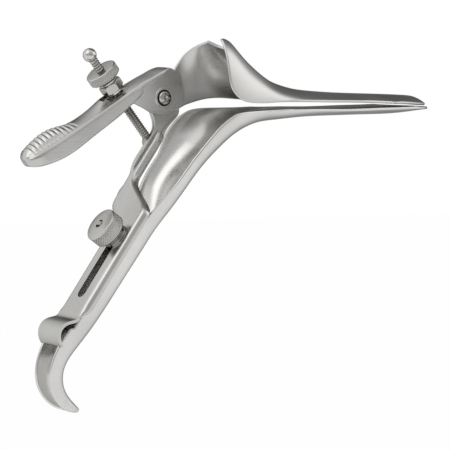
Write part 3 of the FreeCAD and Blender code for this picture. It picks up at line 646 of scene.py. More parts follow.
def first_crossing(over):
    """Share of the arc at which each row of a table turns positive, read between two tries."""
    beyond = over > 0
    cut = np.maximum(np.where(beyond.any(axis=1), beyond.argmax(axis=1), len(tries) - 1), 1)
    row = np.arange(len(over))
    low, high = over[row, cut - 1], over[row, cut]
    part = np.where(high > 0, np.clip(-low / np.where(high - low == 0, 1, high - low), 0, 1), 1.0)
    return (tries[cut - 1] + part * tries[1]).clip(LEAST_SHARE, 1.0)[:, None]


widest = []
for rim, side_depth in ((BLADE_RIM, depth), (FAR_RIM, far_depth)):
    side_x, side_y, side_z = lower_section(side_depth, tries[None])
    widest.append(first_crossing(np.maximum(
        over_rim(side_x, side_z, rim) + BLADE_SHEET / 2,
        np.abs(side_y) - nose_half(side_x + BLADE_SHEET / 2))))
column = np.linspace(-1, 1, LOWER_COLUMNS)[None]
v = np.where(column < 0, *widest) * np.sin(column * BUNCHED) / math.sin(BUNCHED)
lower_middle = np.stack(lower_section(np.where(v > 0, far_depth, depth), v), axis=-1)
# Its finish is painted paler, for the light that falls on the sheet.
piece("lower_blade_and_handle", *pressed_sheet(lower_middle, BLADE_SHEET),
      "satin_steel_pale", "handle", ["lower_blade", "handle"])

# %% [markdown]
# The upper blade is a second pressed sheet. Its section is given by stations too, and its mouth has a
# notch in the middle, a wing on each side and a lower rim. The far wing is the larger one and lies
# flush with the hinge plate.

# %% Stations of the upper blade
MOUTH_HALF = 18.5
# x, crown, rim height, half width, arc, squareness
UPPER_STATIONS = [
    (-2.0, 33.0, -6.5, MOUTH_HALF, 90.0, 2.4),
    (10.0, 32.0, -5.5, MOUTH_HALF, 90.0, 2.4),
    (18.0, 28.8, -4.0, MOUTH_HALF, 90.0, 2.4),
    (24.3, 22.7, -2.5, MOUTH_HALF - 0.2, 90.0, 2.3),
    (30.0, 17.6, -1.2, MOUTH_HALF - 0.5, 88.0, 2.2),
    (36.0, 13.1, -0.4, BLADE_HALF + 0.2, 85.0, 2.1),
    (42.0, 9.6, 0.0, BLADE_HALF, 80.0, 2.0),
    (48.0, 7.4, 0.2, BLADE_HALF - 0.1, 76.0, 2.0),
    (56.0, 5.5, 0.3, BLADE_HALF - 0.2, 70.0, 2.0),
    (68.0, 4.2, 0.3, BLADE_HALF - 0.2, 65.0, 2.0),
    (85.0, 3.4, 0.3, BLADE_HALF, 65.0, 2.0),
    (105.0, 3.0, -0.2, BLADE_HALF, 65.0, 2.0),
    (121.0, 2.6, -1.0, BLADE_HALF, 62.0, 2.0),
    (129.0, 2.1, -1.5, BLADE_HALF, 58.0, 2.0),
    (134.0, 1.3, -1.7, BLADE_HALF, 55.0, 2.0),
    (140.5, -0.2, -2.0, BLADE_HALF, 50.0, 2.0),
]
# The mouth's edge seen from the side, from the tip of the wing down to the lower rim
NEAR_EDGE = [(12.9, 19.0), (12.9, 12.3), (14.1, 5.6), (16.9, 2.0), (20.7, 0.2), (24.6, -0.5),
             (30.0, -0.7), (37.0, -0.4), (42.0, 0.0)]
FAR_EDGE = [(17.0, 26.6), (15.2, 25.4), (13.2, 23.8), (11.4, 21.8), (9.4, 19.2), (7.2, 15.9),
            (5.0, 12.6), (3.6, 6.0), (3.6, -2.0), (5.2, -5.0), (9.2, -3.6), (13.9, -1.9), (19.4, -0.4),
            (24.9, 0.5), (30.4, 0.7), (38.0, 0.3), (44.0, 0.1)]
upper_x, *upper_rows = np.array(UPPER_STATIONS).T


def upper_sizes(x):
    """Crown, half width, depth, arc and squareness of the upper blade's section at x."""
    crown, rim, half, arc, square = np.moveaxis(spline(upper_x, np.transpose(upper_rows), x), -1, 0)
    return crown, half, crown - rim, np.minimum(arc, 90.0), square


def v_at_height(x, z):
    """Share of the section's arc at which the upper blade has height z."""
    crown, *sizes = upper_sizes(x)
    wide, tall, power, reach = whole_ellipse(*sizes)
    up = np.clip(1.0 - (crown - z) / tall, 0.0, 1.0)
    return np.clip(np.arccos(up ** (1.0 / power)) / reach, 0.0, 1.0)


def v_at_width(x, y):
    """Share of the section's arc at which the upper blade has half width y."""
    crown, *sizes = upper_sizes(x)
    wide, tall, power, reach = whole_ellipse(*sizes)
    return np.clip(np.arcsin(np.clip(y / wide, 0, 1) ** (1.0 / power)) / reach, 0.0, 1.0)


print("upper blade has", len(UPPER_STATIONS), "stations")

# %% [markdown]
# The notch is a half ellipse seen from above, and the wing's edge is a smooth line seen from the
# side. Both are turned into x and the share v of the section's arc, the sheet's own coordinates, and
# joined into one evenly spaced edge.

# %% Edge of the mouth
NOTCH_X, NOTCH_HALF, NOTCH_DEPTH = 23.0, 9.3, 9.0
NOTCH_STEPS, GAP_STEPS, WING_STEPS = 30, 14, 160
# How many mm of the section's arc one v is, about
MM_PER_V = 26


def mouth_edge(edge, count):
    """Evenly spaced x and v along the mouth's edge: half the notch, the wing and the lower rim."""
    tip_x = edge[0][0]
    tip_y = NOTCH_HALF * math.sqrt(1 - ((tip_x - NOTCH_X + NOTCH_DEPTH) / NOTCH_DEPTH) ** 2)
    turn = np.linspace(0, math.asin(tip_y / NOTCH_HALF), NOTCH_STEPS)
    notch_x = NOTCH_X - NOTCH_DEPTH + NOTCH_DEPTH * np.cos(turn)
    notch_v = v_at_width(notch_x, NOTCH_HALF * np.sin(turn))
    line_x, line_z = smooth_line(edge, WING_STEPS).T
    wing_v = v_at_height(line_x, line_z)
    gap = np.linspace(0, 1, GAP_STEPS)[1:-1]
    x = np.concatenate([notch_x, np.full(len(gap), tip_x), line_x])
    v = np.concatenate([notch_v, notch_v[-1] + gap * (wing_v[0] - notch_v[-1]), wing_v])
    reach = along_path(np.stack([x, MM_PER_V * v], axis=1))
    even = np.linspace(0, reach[-1], count)
    return np.interp(even, reach, x) + BLADE_SHEET / 2, np.interp(even, reach, v)


print("notch is", 2 * NOTCH_HALF, "mm wide and", NOTCH_DEPTH, "mm deep")

# %% [markdown]
# The sheet's lines run from the edge of the mouth to the rounded nose. Filling in between two edges
# makes both come out as true rounded rims, which cutting a finished sheet wouldn't. Near the hinge
# plate the far wing is drawn out flush with it, and at the nose the sheet turns down to the lower one.

# %% Upper blade
COLUMNS, ROWS = 70, 150
UPPER_SHORT = 4.2
NOSE_HALF = BLADE_HALF - 0.1
PLATE_INNER, PLATE_OUTER = 17.2, 18.5
FLUSH_X, FLUSH_OVER, FLUSH_Y = 16.0, 9.0, PLATE_INNER + 0.8
# How far the rows bunch towards the mouth, and how fast the columns spread behind it
BOWED, SPREAD, SPREAD_POWER = 0.28, 2.2, 0.9
# Share of the length that turns down at the nose, and the height that its rim comes to
NOSE_TURN, NOSE_Z, NOSE_SWING = 0.055, -0.6, -1.1

turn = np.linspace(0, 1, COLUMNS) * math.pi / 2
end_x = NOSE_START + (NOSE_LENGTH - UPPER_SHORT) * np.cos(turn) ** NOSE_POWER
end_v = v_at_width(end_x, NOSE_HALF * np.sin(turn) ** NOSE_POWER)
s = np.linspace(0, 1, ROWS)[:, None]
sides = []
for sign, edge in ((-1, NEAR_EDGE), (1, FAR_EDGE)):
    start_x, start_v = mouth_edge(edge, COLUMNS)
    x = start_x + (end_x - start_x) * ((1 - BOWED) * s + BOWED * s ** 2)
    v = start_v + (end_v - start_v) * np.clip(SPREAD * s, 0, 1) ** SPREAD_POWER
    crown, *sizes = upper_sizes(x)
    across, drop = half_round(*sizes, v, BLADE_SHEET / 2)
    if sign > 0:
        across = across + smooth_step((FLUSH_X - x) / FLUSH_OVER) * np.maximum(FLUSH_Y - across, 0)
    height = crown - drop
    turned_down = np.clip((s - 1 + NOSE_TURN) / NOSE_TURN, 0, 1) ** 2
    height = height + turned_down * (NOSE_Z + NOSE_SWING * np.cos(turn) - height[-1])
    sides.append(np.stack([x, sign * across, height], axis=-1))
upper_middle = np.concatenate([sides[0][:, :0:-1], sides[1]], axis=1)
# Its finish has painted shade.
piece("upper_blade_sheet", *pressed_sheet(upper_middle, BLADE_SHEET),
      "satin_steel_shaded", "upper_blade", ["upper_blade"])

# %% [markdown]
# The hinge plate and the arm beside it are flat plates with softly rounded edges. They come from an
# outline: a ring of points on it, pulled in a little towards each face. A bevel on an extruded curve
# would do the same, but its faces are uneven where the outline is tight.

# %% Plates
PLATE_STEPS = 4
OUTLINE_POINTS = 300
LEVER_LEAN = math.radians(31.5)
LEVER_FRAME = (np.array([0.0, 0.0, 12.0]), np.array([-math.cos(LEVER_LEAN), 0.0, -math.sin(LEVER_LEAN)]),
               AXES[1], np.array([-math.sin(LEVER_LEAN), 0.0, math.cos(LEVER_LEAN)]))


def rounded_plate(outline, y0, y1, radius):
    """Closed line in XZ made solid from y0 to y1, its edges quarter circles of the given radius."""
    outline = closed_line(outline, OUTLINE_POINTS)
    travel = unit(np.roll(outline, -1, axis=0) - np.roll(outline, 1, axis=0))
    inward = np.stack([-travel[:, 1], travel[:, 0]], axis=1)
    x, z = outline.T
    inward *= np.sign(np.sum(x * np.roll(z, -1) - np.roll(x, -1) * z))
    swing = np.linspace(0, math.pi / 2, PLATE_STEPS)
    pull = radius * np.concatenate([1 - np.sin(swing), 1 - np.sin(swing[::-1])])
    level = np.concatenate([y0 + radius * (1 - np.cos(swing)), y1 - radius * (1 - np.cos(swing[::-1]))])
    flat = outline[None] + pull[:, None, None] * inward[None]
    level = np.broadcast_to(level[:, None], flat.shape[:2])
    points = np.stack([flat[..., 0], level, flat[..., 1]], axis=-1)
    return points.reshape(-1, 3), capped(2 * PLATE_STEPS, OUTLINE_POINTS)


def on_lever(length, height):
    """x and z of a point given along the lever and over its top line."""
    return tuple(placed(np.array([length, 0.0, height]), LEVER_FRAME)[[0, 2]])


print("lever leans", round(math.degrees(LEVER_LEAN), 1), "degrees")

# %% [markdown]
# The hinge plate is brazed to the upper blade's far wing and runs back inside the lever. Its outline
# follows the lever's top line, drops in front of the hinge, and goes round it as a lobe.

# %% Hinge plate
PLATE_EDGE = 0.35
LOBE_R = 7.6
lobe = [(LOBE_R * math.cos(t), LOBE_R * math.sin(t)) for t in np.radians(np.arange(-20, -96, -25))]
plate_line = [on_lever(28.0, -1.6), on_lever(22.0, -0.6), on_lever(12.0, -0.3), on_lever(2.0, -0.2),
              on_lever(-4.0, -0.4), (6.0, 12.4), (8.0, 11.5), (10.5, 7.0), (11.0, 1.0), (10.0, -2.6),
              *lobe, (-4.2, -7.5), (-8.0, -6.4), (-11.4, -4.6), (-14.0, -3.5), on_lever(22.0, -3.9),
              on_lever(28.0, -4.2)]
# Its finish has painted shade, like the upper blade's.
plate = piece("hinge_plate", *rounded_plate(plate_line, PLATE_INNER, PLATE_OUTER, PLATE_EDGE),
              "satin_steel_shaded", "upper_blade", ["upper_blade"])

# %% [markdown]
# The hinge arm stands beside the plate. It carries the hinge's screw at its top, narrows to a waist
# and widens again to where it is brazed to the slide's yoke.

# %% Hinge arm
ARM_INNER, ARM_OUTER, ARM_EDGE = 18.8, 21.3, 0.5
ARM_LINE = [(6.2, 3.8), (7.4, 0.6), (9.3, -4.6), (9.2, -7.4), (6.2, -11.0), (2.9, -14.7), (0.6, -19.2),
            on_handle(-28.0, -11.0), on_handle(-36.0, -11.2), on_handle(-46.5, -10.8),
            on_handle(-52.0, -9.6), on_handle(-51.0, -8.2), on_handle(-40.0, -7.6), (-14.9, -31.6),
            (-10.2, -23.8), (-6.6, -18.6), (-4.4, -14.6), (-4.3, -11.0), (-6.0, -6.6), (-7.2, -2.0),
            (-6.4, 3.4), (-3.0, 6.6), (1.5, 7.0)]
piece("hinge_arm_plate", *rounded_plate(ARM_LINE, ARM_INNER, ARM_OUTER, ARM_EDGE),
      "satin_steel", "slide", ["hinge_arm"])

# %% [markdown]
# The thumb lever is a forged bar. Seen across, its section has a flat side, a narrow polished lip, a
# crowned top and a rounded underside. Along it those heights change by stations, and eleven ribs are
# pressed into the crown. One grid holds all that, so no rib has to be joined on.

# %% Stations and ribs of the thumb lever
LEVER_NEAR, LEVER_FAR = 17.0, 31.0
RIB_COUNT, RIB_PITCH, RIB_DEPTH, RIBS_END = 11, 2.4, 0.6, 76.6
FRONT_ROWS, ROWS_PER_RIB, END_ROWS = 44, 10, 14
RIB_LIMIT = 0.8
# Place, lip, crown over the lip, underside, near side, far side
LEVER_STATIONS = [
    (-4.0, -0.3, 0.2, -2.0, LEVER_NEAR + 0.3, LEVER_FAR),
    (-1.0, 0.5, 0.2, -2.1, LEVER_NEAR + 0.3, LEVER_FAR),
    (4.0, 1.0, 0.2, -2.2, LEVER_NEAR + 0.3, LEVER_FAR),
    (9.0, 1.5, 0.2, -2.4, LEVER_NEAR + 0.3, LEVER_FAR),
    (13.0, 1.7, 0.3, -2.8, LEVER_NEAR + 0.25, LEVER_FAR),
    (17.0, 1.8, 0.6, -3.6, LEVER_NEAR + 0.05, LEVER_FAR),
    (21.0, 1.8, 1.2, -4.1, LEVER_NEAR, LEVER_FAR),
    (25.0, 1.8, 2.0, -4.6, LEVER_NEAR, LEVER_FAR),
    (30.0, 1.8, 2.2, -5.2, LEVER_NEAR, LEVER_FAR),
    (36.0, 1.7, 1.1, -5.6, LEVER_NEAR, LEVER_FAR),
    (42.0, 1.6, 0.6, -5.9, LEVER_NEAR, LEVER_FAR),
    (48.0, 1.6, 0.9, -6.2, LEVER_NEAR, LEVER_FAR),
    (54.0, 1.7, 2.5, -6.6, LEVER_NEAR, LEVER_FAR),
    (60.0, 1.8, 4.4, -6.7, LEVER_NEAR, LEVER_FAR),
    (66.0, 2.0, 5.0, -6.2, LEVER_NEAR, LEVER_FAR),
    (71.0, 2.2, 4.4, -5.2, LEVER_NEAR + 0.1, LEVER_FAR - 0.2),
    (75.0, 2.3, 3.6, -4.1, LEVER_NEAR + 0.4, LEVER_FAR - 0.7),
    (77.5, 2.4, 2.7, -3.2, LEVER_NEAR + 1.1, LEVER_FAR - 1.6),
    (79.0, 2.4, 1.8, -2.4, LEVER_NEAR + 2.0, LEVER_FAR - 2.7),
    (80.0, 2.3, 1.0, -1.6, LEVER_NEAR + 3.2, LEVER_FAR - 3.9),
    (80.6, 1.9, 0.5, -0.7, LEVER_NEAR + 4.6, LEVER_FAR - 5.2),
]
table = np.array(LEVER_STATIONS)
first_rib = RIBS_END - RIB_PITCH * RIB_COUNT
end_rows = np.sin(np.linspace(0.1, 1, END_ROWS) * math.pi / 2)
places = np.concatenate([np.linspace(table[0, 0], first_rib, FRONT_ROWS)[:-1],
                         np.linspace(first_rib, RIBS_END, RIB_COUNT * ROWS_PER_RIB + 1),
                         RIBS_END + (table[-1, 0] - RIBS_END) * end_rows])
lip, crown, under, near, far = spline(table[:, 0], table[:, 1:], places).T[:, :, None]
place = places[:, None]
wave = (1 - np.cos(2 * math.pi * (place - first_rib) / RIB_PITCH)) / 2
ribbed = (place > first_rib) & (place < RIBS_END)
groove = np.minimum(np.where(ribbed, RIB_DEPTH * wave ** 2, 0), crown * RIB_LIMIT)
print("lever has", RIB_COUNT, "ribs over", round(RIBS_END - first_rib, 1), "mm")

# %% [markdown]
# The section goes round in five stretches: the lower near corner, the lip, the crown, the upper far
# corner and the lower far corner. Corners are quarter ellipses, and the crown is a bow of a sine that
# falls off beside the lip, so that the lip stands out as a bright line.

# %% Thumb lever
LIP_SHARE = 2.3 / 14
LIP_STEP = 0.02
# Most and share of the height for the lower corners and for the lip, then how they are stretched
CORNER_MOST, CORNER_SHARE, BEAD_MOST, BEAD_SHARE = 1.0, 0.28, 2.0, 0.4
NEAR_LOW, BEAD_WIDE, FAR_LOW = 1.2, 0.8, 2.0
FAR_CORNER, FAR_CORNER_SHARE, FAR_RISE = 1.2, 0.5, 0.6
# Span, skew and power of the sine that the crown follows
BOW_SPAN, BOW_SKEW, BOW_POWER = 0.86, 0.94, 0.7

turn = np.linspace(0, math.pi / 2, 7)[None]
u = np.linspace(0, 1, 26)[None, 1:-1]
sine, cosine = 1 - np.sin(turn), 1 - np.cos(turn)
corner = np.minimum(CORNER_MOST, CORNER_SHARE * (lip - under))
bead = np.minimum(BEAD_MOST, BEAD_SHARE * (lip - under))
lip_wide = LIP_SHARE * (far - near)
bow = np.sin(math.pi * BOW_SPAN * u ** BOW_SKEW) ** BOW_POWER
far_top = lip + (crown - groove) * FAR_RISE
far_drop = np.minimum(FAR_CORNER, FAR_CORNER_SHARE * (far_top - under))
section_y = np.concatenate([
    near + NEAR_LOW * corner * sine,
    near + BEAD_WIDE * bead * cosine,
    near + lip_wide + (far - near - lip_wide - FAR_CORNER) * u,
    far - FAR_CORNER * sine,
    far - FAR_LOW * corner * cosine], axis=1)
section_h = np.concatenate([
    under + NEAR_LOW * corner * cosine,
    lip - bead * sine - LIP_STEP,
    lip + (crown - groove) * bow,
    far_top - far_drop * cosine,
    under + FAR_LOW * corner * sine], axis=1)
grid = np.stack([place + 0 * section_h, section_y, section_h], axis=-1)
lever = piece("ribbed_thumb_lever", placed(grid, LEVER_FRAME), capped(*grid.shape[:2]), "lever_steel",
              "upper_blade", ["thumb_lever"], sharp=50)

# %% [markdown]
# Holes are cut with a solid tool. The screw passes the lever through a long slot, and its washer sits
# in a pocket of the same form. A boolean cut leaves crisp edges, as a milling cutter does.

# %% Slots of the lever
ROD_AT, ROD_Y = 24.75, 24.0
SLOT_R, SLOT_HALF, SLOT_LOW = 2.6, 4.6, -12.0
POCKET_R, POCKET_HALF, POCKET_LOW = 5.6, 7.6, 2.2
OVER_LEVER = 12.0


def cut_out(made, points, faces):
    """Cut a closed tool, given in mm, out of a piece."""
    cutter = bpy.data.objects.new("cutter", new_mesh("cutter", points, faces))
    bpy.context.collection.objects.link(cutter)
    made.modifiers.clear()
    cut = made.modifiers.new("cut", "BOOLEAN")
    cut.solver = "EXACT"
    cut.object = cutter
    bpy.context.view_layer.update()
    shape = made.evaluated_get(bpy.context.evaluated_depsgraph_get())
    made.data = bpy.data.meshes.new_from_object(shape)
    made.modifiers.clear()
    bpy.data.objects.remove(cutter)
    even_normals(made)
    print(made.name, "is cut and has", len(made.data.polygons), "faces")


def stadium(middle, half, y, radius, low, high, frame_axes):
    """Closed tool: a slot with round ends along x, 2 half long, from low to high on z."""
    turn = np.linspace(-math.pi / 2, math.pi / 2, 25)
    end = np.stack([half - radius + radius * np.cos(turn), radius * np.sin(turn)], axis=1)
    ring = np.array([middle, y]) + np.concatenate([end, -end])
    local = np.concatenate([np.column_stack([ring, np.full(len(ring), level)]) for level in (low, high)])
    return placed(local, frame_axes), capped(2, len(ring))


cut_out(lever, *stadium(ROD_AT, SLOT_HALF, ROD_Y, SLOT_R, SLOT_LOW, OVER_LEVER, LEVER_FRAME))
cut_out(lever, *stadium(ROD_AT, POCKET_HALF, ROD_Y, POCKET_R, POCKET_LOW, OVER_LEVER, LEVER_FRAME))

# %% [markdown]
# The slide is one pressed strip: its flat carries the slot, its rims turn down over the channel, its
# foot curls up for the thumb, and its top runs out to the hinge arm as a narrow yoke. Two edges seen
# from above and one line seen from the side say all that.

# %% Lines of the slotted slide
SLIDE_SHEET = 1.4
SLIDE_B = -7.3
# Along the handle and the near edge, then the far edge
SLIDE_NEAR = [(-130.0, -9.8), (-60.0, -9.8), (-55.5, -9.8), (-53.6, -8.0), (-50.6, -2.6), (-46.5, 6.0),
              (-42.6, 13.2), (-39.0, 15.8), (-36.0, 16.0), (-18.0, 16.2), (-14.0, 17.4)]
SLIDE_FAR = [(-130.0, 9.8), (-65.0, 9.8), (-62.5, 10.4), (-59.0, 15.2), (-56.0, 19.6), (-53.5, 21.2),
             (-50.0, 21.4), (-14.0, 21.4)]
CURL_LINE = [(-110.5, -7.3), (-113.8, -7.15), (-116.3, -5.1), (-118.5, -3.3), (-121.2, -2.5),
             (-123.9, -3.1), (-126.1, -4.9), (-127.4, -7.1)]
# Rows along the flat, closest together where the yoke's edges slant
SLIDE_ROWS = [(-14.5, -36.0, 26), (-36.0, -64.0, 90), (-64.0, CURL_LINE[0][0], 32)]
CURL_ROWS = 60
EDGE_ROUND = np.linspace(-1.5, 1.5, 9)


def plan_edge(edge, a):
    """Edge of the slide's plan at a place along the handle, its corners rounded by averaging."""
    return np.interp(a[:, None] + EDGE_ROUND, *np.array(edge).T).mean(axis=1)


flat_a = np.concatenate([np.linspace(*stretch)[:-1] for stretch in SLIDE_ROWS])
flat_line = np.stack([flat_a, np.full(len(flat_a), SLIDE_B)], axis=1)
line = np.concatenate([flat_line, smooth_line(CURL_LINE, CURL_ROWS)])
print("slide's line has", len(line), "rows")

# %% [markdown]
# Rows go along the handle, and each row is a flat with a quarter circle and a rim at each side. Where
# an edge slants, its fold is widened by the slant, so that it keeps its radius square to the edge. The
# fold and the rim fade out before the curl.

# %% Slotted slide
SLIDE_FOLD, SLIDE_RIM = 1.7, 2.7
FADE_START, FADE_LENGTH = 2.0, 6.0
# A fold takes at most this share of half the width, and sinks less where that half is narrow
FOLD_SHARE, NARROW = 0.6, 1.4
SLOT_TOP, SLOT_FOOT, SLIDE_SLOT_R = -70.2, -100.1, 2.9
BEHIND_SLIDE = -16.0

travel = unit(np.gradient(line, axis=0))
reach = along_path(line)
fade = smooth_step((reach[len(flat_a)] + FADE_START - reach) / FADE_LENGTH)[:, None]
edges, slants = [], []
for edge, inset in ((SLIDE_NEAR, SLIDE_SHEET / 2), (SLIDE_FAR, -SLIDE_SHEET / 2)):
    across = plan_edge(edge, line[:, 0]) + inset
    slope = np.gradient(across[:len(flat_a)], flat_a)
    edges.append(across[:, None])
    slants.append(np.hypot(1, np.interp(line[:, 0], flat_a[::-1], slope[::-1]))[:, None])
near, far = edges
room = (far - near) / 2
fold_near, fold_far = (np.minimum(SLIDE_FOLD * slant, FOLD_SHARE * room) for slant in slants)
swing = np.linspace(0, math.pi / 2, 8)[None]
flat = np.linspace(0, 1, 22)[None, 1:-1]
fold_drop = SLIDE_FOLD * fade * np.minimum(1.0, room / NARROW)
rim_drop = SLIDE_RIM * fade
slide_y = np.concatenate([
    near, near + fold_near * (1 - np.cos(swing)),
    near + fold_near + (far - near - fold_near - fold_far) * flat,
    far - fold_far * (1 - np.cos(swing[:, ::-1])), far], axis=1)
drop = np.concatenate([
    rim_drop, fold_drop * (1 - np.sin(swing)), 0 * flat + 0 * near,
    fold_drop * (1 - np.sin(swing[:, ::-1])), rim_drop], axis=1)
x, z = on_handle(line[:, :1] - drop * travel[:, 1:], line[:, 1:] + drop * travel[:, :1])
slide = piece("pressed_slide", *pressed_sheet(np.stack([x, slide_y, z], axis=-1), SLIDE_SHEET),
              "satin_steel", "slide", ["slotted_slide"], sharp=60)
slot_half = (SLOT_TOP - SLOT_FOOT) / 2 + SLIDE_SLOT_R
cut_out(slide, *stadium((SLOT_TOP + SLOT_FOOT) / 2, slot_half, 0.0, SLIDE_SLOT_R, BEHIND_SLIDE, 0.0,
                        HANDLE_FRAME))

# %% [markdown]
# Screws, nuts, knobs and the ball are turned on a lathe: a profile of radius and height is spun round
# an axis. Blender's Screw modifier spins a profile too, but knurling and threads need a radius that
# also changes round the axis, so the spinning is worked out here.

# %% Turning and knurling
TEETH = 44
KNURL_PITCH, KNURL_DEPTH, KNURL_ROW = 1.15, 0.3, 0.14
KNURL_COLUMNS = 8 * TEETH


def turned(profile, count, frame_axes, relief=0.0):
    """Profile rows (radius, height) spun round z; relief is added to each point's radius."""
    radius, height = np.asarray(profile, float).T[:, :, None]
    turn = np.linspace(0, 2 * math.pi, count, endpoint=False)
    reach = radius + relief + 0 * turn
    local = np.stack([reach * np.cos(turn), reach * np.sin(turn), height + 0 * reach], axis=-1)
    return placed(local, frame_axes).reshape(-1, 3), capped(len(local), count)


def rounded_profile(corners, radius, steps=5):
    """Profile (radius, height) whose inner corners are bows: (1-t)^2 a + 2t(1-t) corner + t^2 b."""
    corners = np.asarray(corners, float)
    t = np.linspace(0, 1, steps)[:, None]
    rows = [corners[:1]]
    for before, here, after in zip(corners, corners[1:], corners[2:]):
        room = 0.45 * min(np.linalg.norm(before - here), np.linalg.norm(after - here))
        cut = min(radius, room)
        start, end = here + cut * unit(before - here), here + cut * unit(after - here)
        rows.append((1 - t) ** 2 * start + 2 * t * (1 - t) * here + t ** 2 * end)
    return np.concatenate([*rows, corners[-1:]])


def knurled(profile, low, high):
    """Profile with finer rows from low to high, and the relief of two crossing helical grooves."""
    first, last = (int(np.argmax(profile[:, 1] >= level)) for level in (low, high))
    band = np.linspace(low, high, int((high - low) / KNURL_ROW))
    wide = np.interp(band, [low, high], [profile[first, 0], profile[last, 0]])
    rows = np.concatenate([profile[:first], np.stack([wide, band], axis=1), profile[last:]])
    turn = np.linspace(0, 1, KNURL_COLUMNS, endpoint=False)[None]
    climb = rows[:, 1:] / KNURL_PITCH
    waves = [np.abs(2 * ((TEETH * turn + way * climb) % 1) - 1) for way in (1, -1)]
    inside = np.zeros((len(rows), 1))
    inside[first + 1:first + len(band) - 1] = 1
    return rows, -KNURL_DEPTH * inside * (1 - np.minimum(1, 2.0 * np.minimum(*waves)))


print("knurling has", TEETH, "teeth round")

# %% [markdown]
# The clamping knob stands over the slide's slot: neck, knurled head, domed face, and the bore that
# the stud's flat end stands in.

# %% Clamping knob
STUD_FRAME = (-70.7 * UP_HANDLE, UP_HANDLE, AXES[1], OUT_HANDLE)
knob_rows = rounded_profile([(4.6, -5.6), (4.6, -3.9), (6.9, -3.7), (7.9, -3.0), (8.2, -2.5), (8.2, 3.0),
                             (7.9, 3.5), (5.4, 3.95), (2.5, 4.2), (2.0, 4.1), (2.0, 3.3)], 0.3)
rows, relief = knurled(knob_rows, -2.2, 2.9)
piece("knurled_clamp_knob", *turned(rows, KNURL_COLUMNS, STUD_FRAME, relief), "knurled_steel",
      "clamp_knob", ["clamp_knob"], sharp=55)

# %% [markdown]
# The adjusting nut runs on the screw over the lever: a neck below and a knurled head with a flat top.
# It is turned round the rod's own axis, which leans back from the hinge arm.

# %% Adjusting nut
ROD_TURN = math.radians(129.7)
ROD_FRAME = (np.array([-3.3, ROD_Y, -20.4]), np.array([math.sin(ROD_TURN), 0.0, -math.cos(ROD_TURN)]),
             AXES[1], np.array([math.cos(ROD_TURN), 0.0, math.sin(ROD_TURN)]))
nut_rows = rounded_profile([(2.0, 35.5), (4.6, 35.5), (4.6, 36.6), (7.2, 37.9), (7.6, 38.3), (7.6, 42.0),
                            (7.2, 42.5), (1.4, 42.7)], 0.3)
rows, relief = knurled(nut_rows, 38.4, 41.9)
piece("knurled_adjusting_nut", *turned(rows, KNURL_COLUMNS, ROD_FRAME, relief), "knurled_steel",
      "nut", ["adjusting_nut"], sharp=55)

# %% [markdown]
# The hexagon under the knurled nut has its corners turned off at both ends. Its radius is that of a
# hexagon, limited at each height by the cone of the chamfer, which is how a real nut is made.

# %% Hexagon nut
HEX_COUNT, HEX_FLAT = 96, 4.8
heights = np.array([31.0, 31.25, 31.55, 33.2, 34.85, 35.15, 35.4])
chamfer = np.array([4.75, 5.1, 5.6, 5.6, 5.6, 5.1, 4.75])[:, None]
turn = np.linspace(0, 2 * math.pi, HEX_COUNT, endpoint=False)
six = HEX_FLAT / np.cos((turn + math.pi / 6) % (math.pi / 3) - math.pi / 6)
axis_rows = np.stack([0 * heights, heights], axis=1)
piece("chamfered_hexagon_nut", *turned(axis_rows, HEX_COUNT, ROD_FRAME, np.minimum(six, chamfer)),
      "screw_steel", "nut_seat", ["lock_nut"], sharp=25)

# %% [markdown]
# The threaded rod is one helical groove: its depth is a triangle wave of height / pitch minus the
# turn. The eye at its lower end, which the hidden pin holds, is a second closed shell of the piece.

# %% Threaded rod and its eye
THREAD_R, THREAD_DEPTH, THREAD_PITCH, THREAD_COUNT = 2.1, 0.55, 1.25, 32
THREAD_LOW, THREAD_HIGH = 2.4, 50.0
EYE_FRAME = (ROD_FRAME[0], AXES[0], AXES[2], AXES[1])
heights = np.arange(THREAD_LOW, THREAD_HIGH, THREAD_PITCH / 8)
turn = np.linspace(0, 1, THREAD_COUNT, endpoint=False)[None]
relief = -THREAD_DEPTH * np.abs(2 * ((heights[:, None] / THREAD_PITCH - turn) % 1) - 1)
thread_rows = np.stack([THREAD_R + 0 * heights, heights], axis=1)
rod_points, rod_faces = turned(thread_rows, THREAD_COUNT, ROD_FRAME, relief)
eye_rows = rounded_profile([(1.3, -2.0), (3.2, -2.0), (3.2, 2.0), (1.3, 2.0)], 0.4)
eye_points, eye_faces = turned(eye_rows, 48, EYE_FRAME)
rod_faces += [[k + len(rod_points) for k in face] for face in eye_faces]
# The rod's finish is painted darker, for the shade on it.
piece("threaded_rod", np.concatenate([rod_points, eye_points]), rod_faces, "screw_steel_painted_shade", "rod",
      ["adjusting_rod"], sharp=60)

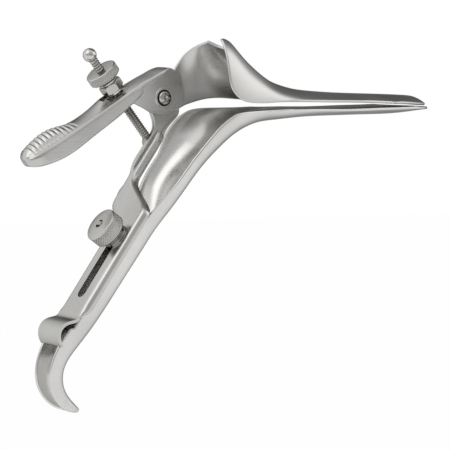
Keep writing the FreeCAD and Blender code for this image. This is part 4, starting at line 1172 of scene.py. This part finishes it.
# %% [markdown]
# The ball keeps the nut from running off the rod. It is turned in one with the short neck that it is
# screwed on by, and a small cap closes its pole, where a full half circle would leave thin triangles.

# %% Ball
BALL_AT, BALL_R = 51.3, 3.2
neck = [(1.9, 47.9), (1.9, 48.2)]
swing = np.radians(np.linspace(150, 2, 30))
ball_rows = neck + [(BALL_R * math.sin(t), BALL_AT + BALL_R * math.cos(t)) for t in swing]
piece("rod_end_ball", *turned(ball_rows, 48, ROD_FRAME), "bright_steel", "rod", ["rod_ball"], sharp=50)

# %% [markdown]
# The hinge's screw shows its domed head inside the plate, in a round opening. The thin ring round that
# opening belongs to the plate, which is cut open for the head.

# %% Pivot screw and its ring
PIVOT_FRAME = (np.zeros(3), AXES[0], AXES[2], -AXES[1])
OPENING_R = 3.75
head_rows = rounded_profile([(3.2, -21.2), (3.2, -16.6), (2.7, -15.95), (1.1, -15.7), (0.75, -15.9),
                             (0.05, -15.95)], 0.3)
piece("domed_pivot_screw", *turned(head_rows, 64, PIVOT_FRAME), "screw_steel", "slide", ["pivot_screw"],
      sharp=50)
ring_rows = rounded_profile([(OPENING_R, -17.3), (OPENING_R, -17.05), (3.9, -16.95), (4.7, -16.95),
                             (5.0, -17.3)], 0.1)
# The ring's finish has painted shade, like the plate's.
piece("pivot_ring", *turned(ring_rows, 64, PIVOT_FRAME), "satin_steel_shaded", "upper_blade",
      ["upper_blade"], sharp=50)
cut_out(plate, *turned([(OPENING_R, -22.0), (OPENING_R, -15.0)], 64, PIVOT_FRAME))

# %% [markdown]
# The CAD solids that stay visible get the same finishes, by the slot that the record gives each.

# %% Finishes of the CAD solids
slots = {row["node"]: row["material_slot"] for row in frame["record"]["subparts"]}
for name, node in frame["nodes"].items():
    if not node.hide_render:
        node.data.materials.clear()
        node.data.materials.append(FINISHES[slots[name]])
        print("finish of", name, "is", slots[name])

# %% [markdown]

# %% [markdown]
# Colours are to come out as they are written, so the picture uses the plain Standard transform.

# %% Render settings that belong to the picture
bpy.context.scene.view_settings.view_transform = "Standard"
